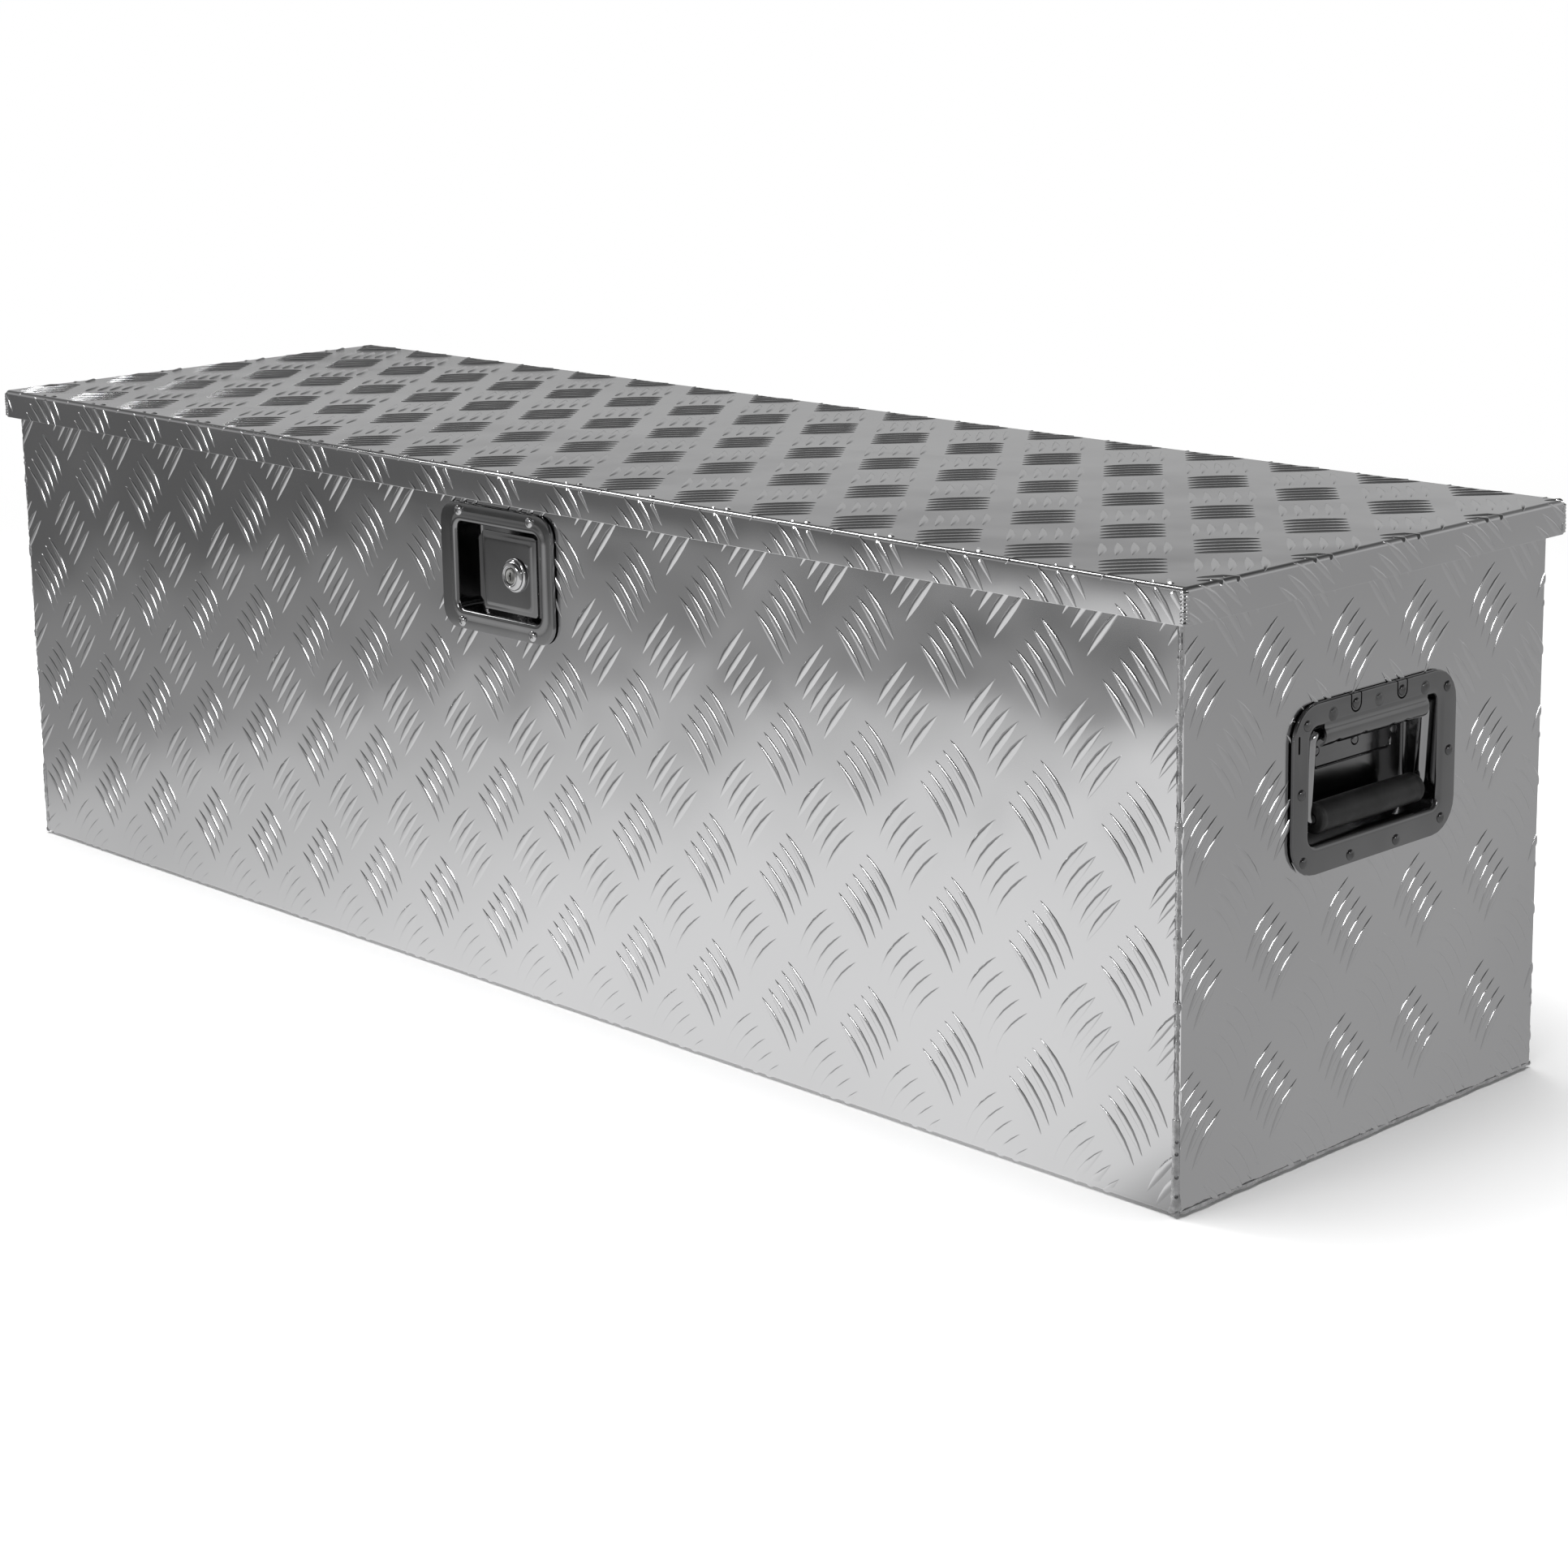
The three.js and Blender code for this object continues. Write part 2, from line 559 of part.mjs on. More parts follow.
// The bar is bent to a loop whose two ends meet in the rolled channel.
function bailPath() {
  const { y0, y1, x, z, lowX, lowZ, bend } = BAIL;
  const lean = (height) => lowX + ((x - lowX) * (height - lowZ)) / (z - lowZ);
  const point = (y, height) => new THREE.Vector3(lean(height), y, height);
  const path = new THREE.CurvePath();
  const corners = [
    [y0, z],
    [y0, lowZ],
    [y1, lowZ],
    [y1, z],
  ];
  const stops = [[-14, z], ...corners, [14, z]];
  let from = point(...stops[0]);
  corners.forEach((corner, i) => {
    const at = point(...corner);
    const before = at.clone().lerp(point(...stops[i]), bend / at.distanceTo(point(...stops[i])));
    const after = at.clone().lerp(point(...stops[i + 2]), bend / at.distanceTo(point(...stops[i + 2])));
    path.add(new THREE.LineCurve3(from, before));
    path.add(new THREE.QuadraticBezierCurve3(before, at, after));
    from = after;
  });
  path.add(new THREE.LineCurve3(from, point(...stops.at(-1))));
  return path;
}

function bail() {
  return new THREE.ExtrudeGeometry(roundSection(BAIL.r, 4), { steps: 46, extrudePath: bailPath() });
}

function grip() {
  const [a, b] = [BAIL.y0 + 5.6, BAIL.y1 - 5.6];
  const length = b - a;
  const bore = BAIL.r + GAP;
  const profile = [
    [bore, 0],
    [GRIP_R - 1, 0],
    [GRIP_R, 1],
    [GRIP_R, length - 1],
    [GRIP_R - 1, length],
    [bore, length],
    [bore, 0],
  ];
  return turned(profile, [BAIL.lowX, a, BAIL.lowZ], [0, 1, 0], 16);
}

function carryingHandle(side) {
  const handle = new THREE.Group();
  handle.rotation.z = side === "left" ? Math.PI : 0;
  place(`handle_plate_${side}`, handlePlate(), STAINLESS, handle);
  place(`handle_gasket_${side}`, handleGasket(), RUBBER, handle);
  place(`handle_bracket_${side}`, handleBracket(), STAINLESS, handle);
  place(`handle_bail_${side}`, bail(), STAINLESS, handle);
  place(`handle_grip_${side}`, grip(), RUBBER, handle);
  const spring = place(`handle_spring_${side}`, coil(5.2, 0.5, 10, 4), ZINC, handle);
  spring.rotation.x = -Math.PI / 2;
  spring.position.set(BAIL.x, -46, BAIL.z);
  return handle;
}

// ---- Gas struts -------------------------------------------------------------------------------------
const STRUT_RUN = Math.hypot(STRUT_LID.y - STRUT_BOX.y, STRUT_LID.z - STRUT_BOX.z);
const STRUT_TILT = Math.atan2(STRUT_BOX.y - STRUT_LID.y, STRUT_LID.z - STRUT_BOX.z);
const TUBE_R = 8;
const TUBE_TOP = 160; // along the strut from its lower stud
const ROD_R = 4;
const STUD_R = 4.8;

// Both halves of a strut are built standing on the lower stud and then leant over to the upper one.
function strutTube(sign) {
  const eye = alongZ(roundedOutline(-6, 6, -6.5, 6.5, 3), -8, 12);
  const seat = rod(STUD_R + 0.4, [sign * 7, 0, 0], [-sign * 5.2, 0, 0], 12);
  const profile = [
    [0, 11],
    [TUBE_R, 11],
    [TUBE_R, TUBE_TOP - 2],
    [TUBE_R - 2, TUBE_TOP],
    [ROD_R + GAP, TUBE_TOP],
    [ROD_R + GAP, TUBE_TOP - 5],
    [TUBE_R - 1.5, TUBE_TOP - 6],
    [TUBE_R - 1.5, 15],
    [0, 15],
  ];
  return cut(join(eye, solid(lathed(profile))), seat);
}

function lathed(profile) {
  const points = profile.map(([r, h]) => new THREE.Vector2(r, h));
  return new THREE.LatheGeometry(points, 14).rotateX(Math.PI / 2);
}

function strutRod() {
  const inside = 105; // rod length hidden in the tube when the lid is shut
  const shaft = rod(ROD_R, [0, 0, TUBE_TOP - inside], [0, 0, STRUT_RUN - 8], 10);
  const eye = alongZ(roundedOutline(-6, 6, -6.5, 6.5, 3), STRUT_RUN - 12, STRUT_RUN + 8);
  return join(shaft, eye);
}

function strut(side) {
  const sign = side === "left" ? -1 : 1;
  const leaning = new THREE.Group();
  leaning.position.set(sign * STRUT_X, STRUT_BOX.y, STRUT_BOX.z);
  leaning.rotation.x = STRUT_TILT;
  place(`strut_tube_${side}`, strutTube(sign), BLACK, leaning);
  place(`strut_rod_${side}`, strutRod(), STAINLESS, leaning);
  return leaning;
}

const spread = (sign, a, b) => [sign * a, sign * b].sort((p, q) => p - q);

// The lower bracket is welded inside the end panel and carries a ball stud.
function strutBoxBracket(sign) {
  const { y, z } = STRUT_BOX;
  const face = BOX_X - PLATE - GAP;
  const pad = alongX(roundedOutline(y - 15, y + 15, z - 15, z + 15, 4), ...spread(sign, face - 1.5, face));
  const post = rod(5, [sign * (face - 1), y, z], [sign * (STRUT_X + 10), y, z], 10);
  const neck = rod(2.8, [sign * (STRUT_X + 11), y, z], [sign * STRUT_X, y, z], 8);
  const ball = solid(new THREE.SphereGeometry(STUD_R, 12, 8).translate(sign * STRUT_X, y, z));
  return join(pad, post, neck, ball);
}

// The upper bracket hangs from the lid; its stud ends just short of the rod's eye, so that the strut's
// motion, which follows the lid in proportion, stays clear of it.
function strutLidBracket(sign) {
  const { y, z } = STRUT_LID;
  const top = LID_UNDER - GAP;
  const legOutline = roundedOutline(y - 12, y + 12, z - 9, top - 0.2, 4);
  const leg = alongX(legOutline, ...spread(sign, STRUT_X + 9, STRUT_X + 11));
  const foot = block(...spread(sign, STRUT_X - 14, STRUT_X + 11), y - 12, y + 12, top - 1.6, top);
  const stud = rod(3.2, [sign * (STRUT_X + 10), y, z], [sign * (STRUT_X + 6 + GAP), y, z], 8);
  return join(leg, foot, stud);
}

// ---- Assembly ---------------------------------------------------------------------------------------
place("box_wrap", boxWrap(), TREAD);
place("end_panel_left", endPanel(-1), TREAD);
place("end_panel_right", endPanel(1), TREAD);
place("rim_seal", rimSeal(), RUBBER);

place("lid_pan", lidPan(), TREAD);
place("lid_stiffener_left", lidStiffener(-300), TREAD);
place("lid_stiffener_right", lidStiffener(300), TREAD);

place("hinge_leaf_box", hingeLeaf(-1, BOX_Y + GAP, 26, 1), STAINLESS);
place("hinge_leaf_lid", hingeLeaf(1, LID_DEPTH / 2 - PLATE - GAP - LEAF, 21, -1), STAINLESS);
const pinEnd = HINGE_LENGTH / 2;
place("hinge_pin", rod(HINGE_PIN_R, [-pinEnd, HINGE_Y, HINGE_Z], [pinEnd, HINGE_Y, HINGE_Z], 12), STAINLESS);

place("lock_plate", lockPlate(), STAINLESS);
place("lock_gasket", lockGasket(), RUBBER);
place("lock_retainer", lockRetainer(), ZINC);
LOCK_SCREWS.forEach(([x, z], i) => {
  place(`lock_screw_${i + 1}`, lockScrew(x, z), STAINLESS);
  place(`lock_nut_${i + 1}`, lockNut(x, z), ZINC);
});
place("paddle", paddle(), STAINLESS);
place("paddle_pin", paddlePin(), STAINLESS);
const paddleSpring = place("paddle_spring", coil(3.1, 0.45, 12, 6), ZINC);
paddleSpring.position.set(PIVOT.x, PIVOT.y, ARM.z1 + 2.5);
place("key_housing", keyHousing(), STAINLESS);
place("key_plug", keyPlug(), ZINC);
place("key_cam", keyCam(), ZINC);
place("latch_case", latchCase(), ZINC);
place("latch_bolt", latchBolt(), STAINLESS);
const latchSpring = place("latch_spring", coil(3.9, 0.5, BOLT.x0 - CASE.x0 - 4.2, 8), ZINC);
latchSpring.rotation.y = Math.PI / 2;
latchSpring.position.set(CASE.x0 + 3.1, BOLT_Y, BOLT_Z);
place("striker", striker(), ZINC);

for (const side of ["left", "right"]) {
  const sign = side === "left" ? -1 : 1;
  group.add(carryingHandle(side));
  group.add(strut(side));
  place(`strut_box_bracket_${side}`, strutBoxBracket(sign), ZINC);
  place(`strut_lid_bracket_${side}`, strutLidBracket(sign), ZINC);
}

export default group;
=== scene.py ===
"""Looks of a truck tool box: a chest and lid of five-bar tread plate, welded at the corners, with a flush
paddle latch on the front and a recessed carrying handle on each end.

The CAD frame gives every size and place. Shapes here are in millimetres in the frame's own axes and become
metres when a piece is built. The front faces -Y, and the origin is on the ground under the middle."""

import json
import math

import bmesh
import bpy
import numpy as np
from mathutils import Matrix, Vector


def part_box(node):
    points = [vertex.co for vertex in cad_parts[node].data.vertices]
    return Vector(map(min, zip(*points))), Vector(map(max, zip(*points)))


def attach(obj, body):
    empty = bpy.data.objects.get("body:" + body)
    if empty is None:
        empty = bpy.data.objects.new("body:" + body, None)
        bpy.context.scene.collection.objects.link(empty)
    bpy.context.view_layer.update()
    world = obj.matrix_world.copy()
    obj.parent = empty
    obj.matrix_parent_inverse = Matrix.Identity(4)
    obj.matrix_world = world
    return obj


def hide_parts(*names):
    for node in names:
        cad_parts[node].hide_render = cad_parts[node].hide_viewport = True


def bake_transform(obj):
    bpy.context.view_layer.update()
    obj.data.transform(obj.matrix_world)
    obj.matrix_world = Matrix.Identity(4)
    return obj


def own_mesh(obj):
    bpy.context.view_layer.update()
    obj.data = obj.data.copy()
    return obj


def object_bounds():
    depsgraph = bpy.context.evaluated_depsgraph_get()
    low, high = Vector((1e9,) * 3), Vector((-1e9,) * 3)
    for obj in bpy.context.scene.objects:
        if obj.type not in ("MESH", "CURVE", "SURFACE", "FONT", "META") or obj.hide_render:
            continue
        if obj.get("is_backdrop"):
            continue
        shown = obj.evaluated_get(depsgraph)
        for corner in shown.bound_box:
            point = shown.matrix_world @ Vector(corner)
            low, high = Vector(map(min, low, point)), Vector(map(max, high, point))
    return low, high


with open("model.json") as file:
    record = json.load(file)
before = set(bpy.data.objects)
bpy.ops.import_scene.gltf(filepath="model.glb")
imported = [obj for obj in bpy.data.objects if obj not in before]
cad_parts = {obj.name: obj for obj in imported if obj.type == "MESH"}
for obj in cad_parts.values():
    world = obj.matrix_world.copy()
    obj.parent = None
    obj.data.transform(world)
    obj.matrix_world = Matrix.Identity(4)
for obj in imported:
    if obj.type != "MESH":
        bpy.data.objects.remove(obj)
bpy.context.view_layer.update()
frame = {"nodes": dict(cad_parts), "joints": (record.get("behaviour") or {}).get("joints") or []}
MM = 0.001
rng = np.random.default_rng(11)


def span(node):
    """Lowest and highest corner of a CAD node, in millimetres."""
    low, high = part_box(node)
    return np.array(low) / MM, np.array(high) / MM


# ---- Driving dimensions, from the frame --------------------------------------------------------------
_, WRAP_HIGH = span("box_wrap")
LID_LOW, LID_HIGH = span("lid_pan")
_, END_HIGH = span("end_panel_right")
BOX_X = END_HIGH[0]
BOX_Y = WRAP_HIGH[1]
RIM_TOP = WRAP_HIGH[2]
SKIRT_LOW = LID_LOW[2]
HEIGHT = LID_HIGH[2]

BAR_RISE = 0.9  # height of a tread bar over the sheet
SHEET = 1.5  # thickness of the sheet under its bars
BEND = 3.1  # outer radius of a bend in the sheet
RIM_WIDTH = 24.0
RIM_DROP = 12.0
ARC_STEPS = 6

# Five-bar tread pattern: groups of five bars, alternately leaning left and right.
BAR_LENGTH = 41.5
BAR_BULGE = 4.5  # how far a bar's outer edge bows out
BAR_BELLY = 1.4  # how far its inner edge bows the other way
GROUP_ACROSS = 72.5
GROUP_ALONG = 86.0
BAR_LEAN = math.radians(50.4)
BAR_STEP = (6.3, 7.45)
BARS_IN_GROUP = 5


# ---- Gathering meshes --------------------------------------------------------------------------------
class Shape:
    """Points in millimetres and faces, gathered into one object. A face's tone is its material's number."""

    def __init__(self):
        self.points = []
        self.faces = []
        self.tones = []
        self.count = 0

    def add(self, points, faces, tone=0, weld=False):
        points = np.asarray(points, float).reshape(-1, 3)
        if weld:
            points, faces = welded(points, faces)
        self.points.append(points)
        start = self.count
        self.faces.extend(tuple(int(i) + start for i in face) for face in faces)
        self.tones.extend([tone] * len(faces))
        self.count += len(points)
        return self

    def merge(self, other, place=None):
        points = np.concatenate(other.points)
        if place is not None:
            points = place(points)
        start = self.count
        self.points.append(points)
        self.faces.extend(tuple(i + start for i in face) for face in other.faces)
        self.tones.extend(other.tones)
        self.count += len(points)
        return self


def welded(points, faces):
    """The same mesh with points that coincide made one, and faces that collapse dropped."""
    keys = np.round(points, 4)
    unique, inverse = np.unique(keys, axis=0, return_inverse=True)
    inverse = inverse.reshape(-1)
    kept = []
    for face in faces:
        ring = []
        for i in face:
            j = int(inverse[i])
            if not ring or ring[-1] != j:
                ring.append(j)
        if len(ring) > 1 and ring[0] == ring[-1]:
            ring.pop()
        if len(set(ring)) > 2:
            kept.append(tuple(ring))
    return unique, kept


def mesh_of(shape, name):
    mesh = bpy.data.meshes.new(name)
    mesh.from_pydata(np.concatenate(shape.points) * MM, [], shape.faces)
    mesh.polygons.foreach_set("material_index", shape.tones)
    mesh.validate()
    return mesh


def piece(name, shape, finishes, body, stands_for=(), crease=32):
    """Builds the shape, turns its faces outward, shades it smooth up to the crease angle, and lets it ride
    on its body. With no body it is left free."""
    mesh = mesh_of(shape, name)
    work = bmesh.new()
    work.from_mesh(mesh)
    bmesh.ops.recalc_face_normals(work, faces=work.faces)
    work.to_mesh(mesh)
    work.free()
    mesh.polygons.foreach_set("use_smooth", [True] * len(mesh.polygons))
    mesh.set_sharp_from_angle(angle=math.radians(crease))
    for finish in finishes:
        mesh.materials.append(finish)
    made = bpy.data.objects.new(name, mesh)
    bpy.context.scene.collection.objects.link(made)
    if body:
        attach(made, body)
    if stands_for:
        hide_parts(*stands_for)
    return made


def carved(shape, *cutters):
    """The shape with the cutters taken out of it."""
    bodies = []
    for i, part in enumerate([shape, *cutters]):
        mesh = mesh_of(part, f"carve_{i}")
        work = bmesh.new()
        work.from_mesh(mesh)
        bmesh.ops.recalc_face_normals(work, faces=work.faces)
        work.to_mesh(mesh)
        work.free()
        for _ in range(max(shape.tones) + 1):
            mesh.materials.append(None)
        body = bpy.data.objects.new(mesh.name, mesh)
        bpy.context.scene.collection.objects.link(body)
        bodies.append(body)
    for tool in bodies[1:]:
        step = bodies[0].modifiers.new("cut", "BOOLEAN")
        step.operation = "DIFFERENCE"
        step.solver = "EXACT"
        step.object = tool
    graph = bpy.context.evaluated_depsgraph_get()
    mesh = bpy.data.meshes.new_from_object(bodies[0].evaluated_get(graph))
    left = Shape()
    points = np.array([v.co for v in mesh.vertices]) / MM
    left.add(points, [tuple(p.vertices) for p in mesh.polygons])
    left.tones = [p.material_index for p in mesh.polygons]
    for body in bodies:
        data = body.data
        bpy.data.objects.remove(body)
        bpy.data.meshes.remove(data)
    bpy.data.meshes.remove(mesh)
    return left


# ---- Basic forms -------------------------------------------------------------------------------------
def rounded(low, high, radius, arc=ARC_STEPS):
    """Points of a rounded rectangle, anticlockwise."""
    (a0, b0), (a1, b1) = low, high
    corners = [
        (a1 - radius, b0 + radius, -90),
        (a1 - radius, b1 - radius, 0),
        (a0 + radius, b1 - radius, 90),
        (a0 + radius, b0 + radius, 180),
    ]
    turn = np.radians(np.linspace(0, 90, arc + 1))
    rows = []
    for a, b, start in corners:
        angle = math.radians(start) + turn
        rows.append(np.stack([a + radius * np.cos(angle), b + radius * np.sin(angle)], 1))
    return np.concatenate(rows)


def on_front(outline, y):
    """An outline in (x, z), set at this y."""
    return np.stack([outline[:, 0], np.full(len(outline), y), outline[:, 1]], 1)


def on_end(outline, x):
    """An outline in (y, z), set at this x."""
    return np.stack([np.full(len(outline), x), outline[:, 0], outline[:, 1]], 1)


def level(outline, z):
    """An outline in (x, y), set at this z."""
    return np.stack([outline[:, 0], outline[:, 1], np.full(len(outline), z)], 1)


def loft(shape, loops, tone=0, closed=False):
    """A skin over loops of equal length, capped at both ends unless it closes on itself."""
    n = len(loops[0])
    rows = len(loops)
    faces = []
    for i in range(rows if closed else rows - 1):
        a = i * n
        b = (i + 1) % rows * n
        for j in range(n):
            k = (j + 1) % n
            faces.append((a + j, a + k, b + k, b + j))
    if not closed:
        faces.append(tuple(range(n)))
        faces.append(tuple(range((rows - 1) * n, rows * n)))
    return shape.add(np.concatenate(loops), faces, tone, weld=True)


def frame_of(axis):
    """Two directions square to an axis."""
    axis = np.asarray(axis, float) / np.linalg.norm(axis)
    helper = np.array([0, 0, 1.0]) if abs(axis[2]) < 0.9 else np.array([1.0, 0, 0])
    side = np.cross(helper, axis)
    side /= np.linalg.norm(side)
    return axis, side, np.cross(axis, side)


def turned(shape, profile, at, axis, sides=32, tone=0, closed=False):
    """A turned shape: the profile's points are (radius, distance along the axis)."""
    axis, side, up = frame_of(axis)
    angle = np.linspace(0, 2 * math.pi, sides, endpoint=False)
    ring = np.cos(angle)[:, None] * side + np.sin(angle)[:, None] * up
    loops = [np.asarray(at) + axis * h + ring * r for r, h in profile]
    return loft(shape, loops, tone, closed)


def tube(shape, path, radius, sides):
    """A round bar along a path, with its section carried along without twisting."""
    path = np.asarray(path, float)
    ahead = np.roll(path, -1, 0) - np.roll(path, 1, 0)
    ahead[0] = path[1] - path[0]
    ahead[-1] = path[-1] - path[-2]
    ahead /= np.linalg.norm(ahead, axis=1)[:, None]
    _, side, _ = frame_of(ahead[0])
    angle = np.linspace(0, 2 * math.pi, sides, endpoint=False)
    radii = np.broadcast_to(np.asarray(radius, float), (len(path),))
    loops = []
    for at, way, r in zip(path, ahead, radii):
        side = side - way * (side @ way)
        side /= np.linalg.norm(side)
        up = np.cross(way, side)
        loops.append(at + r * (np.cos(angle)[:, None] * side + np.sin(angle)[:, None] * up))
    return loft(shape, loops)


def eased(path, radius, steps=ARC_STEPS):
    """A polyline with its inner corners rounded."""
    path = [np.asarray(p, float) for p in path]
    out = [path[0]]
    for before, at, after in zip(path, path[1:], path[2:]):
        back = (before - at) / np.linalg.norm(before - at)
        on = (after - at) / np.linalg.norm(after - at)
        for t in np.linspace(0, 1, steps + 1):
            out.append(at + back * radius * (1 - t) ** 2 + on * radius * t**2)
    return np.array(out + [path[-1]])


def slab(shape, place, low, high, radius, back, front, edge, arc=ARC_STEPS):
    """A rounded plate between two depths, with its edges eased."""
    out = 1 if front > back else -1
    profile = [(edge, 0), (edge * 0.3, 0.3 * edge), (0, edge)]
    depth = abs(front - back)
    rows = [*profile, *[(inset, depth - d) for inset, d in reversed(profile)]]
    loops = []
    for inset, d in rows:
        a = (low[0] + inset, low[1] + inset)
        b = (high[0] - inset, high[1] - inset)
        loops.append(place(rounded(a, b, max(radius - inset, 0.2), arc), back + out * d))
    return loft(shape, loops)


PIN_EASE = 0.3


def pin_profile(radius, length):
    """Half the outline of a round pin, with its ends eased."""
    flat_r = radius - PIN_EASE
    start = [(0, 0), (flat_r, 0), (radius, PIN_EASE)]
    return [*start, (radius, length - PIN_EASE), (flat_r, length), (0, length)]


def across(section, y):
    """A section of (x, z) points, stood up at one y."""
    return np.stack([section[:, 0], np.full(len(section), y), section[:, 1]], 1)


DOME_SIDES = 24
TURN_STEPS = 20  # points round one turn of a coil
WIRE_SIDES = 8


def dome(shape, at, axis, radius, height, tone=0):
    """A rivet head."""
    turn = np.radians(np.linspace(0, 90, 6))
    profile = [(0, -0.4), (radius, -0.4)]
    profile += [(radius * math.cos(t), height * math.sin(t)) for t in turn]
    return turned(shape, profile, at, axis, DOME_SIDES, tone)


def coil(shape, start, axis, radius, wire, length, turns):
    """A coil spring."""
    axis, side, up = frame_of(axis)
    steps = int(turns * TURN_STEPS)
    angle = np.linspace(0, 2 * math.pi * turns, steps + 1)
    along = np.linspace(0, length, steps + 1)
    ring = np.cos(angle)[:, None] * side + np.sin(angle)[:, None] * up
    path = np.asarray(start) + along[:, None] * axis + radius * ring
    return tube(shape, path, wire, WIRE_SIDES)


# ---- Folded sheet ------------------------------------------------------------------------------------
class Fold:
    """A sheet's outer face as a path through its bends, in a plane. Its places are (s, h): the distance
    along the face, and the height out of it. The outside is on the right of the path, or on the left."""

    def __init__(self, corners, radii, outside="right"):
        self.turn = 1 if outside == "right" else -1
        corners = [np.array(c, float) for c in corners]
        self.parts = []
        at = corners[0]
        s = 0.0
        for i in range(1, len(corners)):
            way = corners[i] - corners[i - 1]
            way /= np.linalg.norm(way)
            last = i == len(corners) - 1
            radius = 0 if last else radii[i - 1]
            end = corners[i] - way * radius
            length = np.linalg.norm(end - at)
            self.parts.append((s, s + length, at, way, 0.0))
            s += length
            if last:
                break
            following = corners[i + 1] - corners[i]
            following /= np.linalg.norm(following)
            arc = radius * math.pi / 2
            self.parts.append((s, s + arc, end, way, radius))
            s += arc
            at = corners[i] + following * radius
        self.length = s

    def normal(self, way):
        return self.turn * np.array([way[1], -way[0]])

    def __call__(self, s, h):
        s = np.asarray(s, float)
        out = np.zeros((len(s), 2))
        for i, (a, b, at, way, radius) in enumerate(self.parts):
            low = -math.inf if i == 0 else a
            high = math.inf if i == len(self.parts) - 1 else b
            here = (s >= low) & (s < high)
            n = self.normal(way)
            if radius:
                angle = (s[here] - a) / radius
                centre = at - n * radius
                spoke = np.cos(angle)[:, None] * n + np.sin(angle)[:, None] * way
                out[here] = centre + spoke * (radius + h[here])[:, None]
            else:
                out[here] = at + (s[here] - a)[:, None] * way + h[here][:, None] * n
        return out

    def stations(self):
        """Where to cut the path so that its bends come out round."""
        marks = [0.0]
        for a, b, _, _, radius in self.parts:
            steps = ARC_STEPS if radius else 1
            marks.extend(a + (b - a) * (k + 1) / steps for k in range(steps))
        return np.array(marks)


def ribbon(shape, fold, u0, u1, place, inner_tone=0):
    """The folded sheet between two ends: place(u, (a, b)) puts its section in the frame."""
    s = fold.stations()
    n = len(s)
    outer = fold(s, np.zeros(n))
    inner = fold(s, np.full(n, -SHEET))
    points = np.concatenate([place(u, row) for u in (u0, u1) for row in (outer, inner)])
    outside = [(i, i + 1, 2 * n + i + 1, 2 * n + i) for i in range(n - 1)]
    inside = [(n + i, n + i + 1, 3 * n + i + 1, 3 * n + i) for i in range(n - 1)]
    ends = [(i, i + 1, n + i + 1, n + i) for i in range(n - 1)]
    ends += [(2 * n + i, 2 * n + i + 1, 3 * n + i + 1, 3 * n + i) for i in range(n - 1)]
    ends += [(0, n, 3 * n, 2 * n), (n - 1, 2 * n - 1, 4 * n - 1, 3 * n - 1)]
    start = len(shape.faces)
    shape.add(points, outside + ends + inside)
    for i in range(start + len(outside) + len(ends), len(shape.faces)):
        shape.tones[i] = inner_tone
    return shape


# ---- Tread bars --------------------------------------------------------------------------------------
def bar_form(stations, across):
    """One bar lying along its own first axis: points (along, across, height) and faces."""
    shares, rises = across
    points = []
    for t in stations:
        fullness = 1 - t * t
        rise = (1 - abs(t) ** 3) ** 0.7
        for share, lift in zip(shares, rises):
            edge = -BAR_BELLY + (BAR_BULGE + BAR_BELLY) * share
            sunk = -0.15 if lift == 0 else BAR_RISE * lift * rise
            points.append((t * BAR_LENGTH / 2, edge * fullness, sunk))
    rows = len(stations)
    n = len(shares)
    first = len(points)
    points += [(-BAR_LENGTH / 2, 0, -0.15), (BAR_LENGTH / 2, 0, -0.15)]
    faces = []
    for i in range(rows - 1):
        for j in range(n - 1):
            a = i * n + j
            faces.append((a, a + n, a + n + 1, a + 1))
        faces.append((i * n, i * n + n - 1, (i + 1) * n + n - 1, (i + 1) * n))
    top = (rows - 1) * n
    for j in range(n - 1):
        faces.append((first, j, j + 1))
        faces.append((first + 1, top + j + 1, top + j))
    faces.append((first, n - 1, 0))
    faces.append((first + 1, top, top + n - 1))
    return np.array(points), faces


FINE_BAR = bar_form(
    (-0.95, -0.84, -0.62, -0.24, 0.24, 0.62, 0.84, 0.95),
    ((0, 0.12, 0.3, 0.5, 0.7, 0.88, 1), (0, 0.5, 0.92, 1, 0.92, 0.5, 0)),
)
COARSE_BAR = bar_form((-0.86, -0.4, 0.4, 0.86), ((0, 0.25, 0.75, 1), (0, 0.95, 0.95, 0)))


def groups(area, lean, phase):
    """Centres of every bar of one lean whose group may touch the area. The phase is one group's centre."""
    (u0, v0), (u1, v1) = area
    reach = BAR_LENGTH
    first_u = math.floor((u0 - reach - phase[0]) / GROUP_ACROSS)
    last_u = math.ceil((u1 + reach - phase[0]) / GROUP_ACROSS)
    first_v = math.floor((v0 - reach - phase[1]) / GROUP_ALONG)
    last_v = math.ceil((v1 + reach - phase[1]) / GROUP_ALONG)
    half = BARS_IN_GROUP // 2
    centres = []
    for i in range(first_u, last_u + 1):
        for j in range(first_v, last_v + 1):
            for k in range(-half, half + 1):
                u = phase[0] + i * GROUP_ACROSS + k * BAR_STEP[0]
                v = phase[1] + j * GROUP_ALONG + k * BAR_STEP[1] * -lean
                centres.append((u, v))
    return np.array(centres)


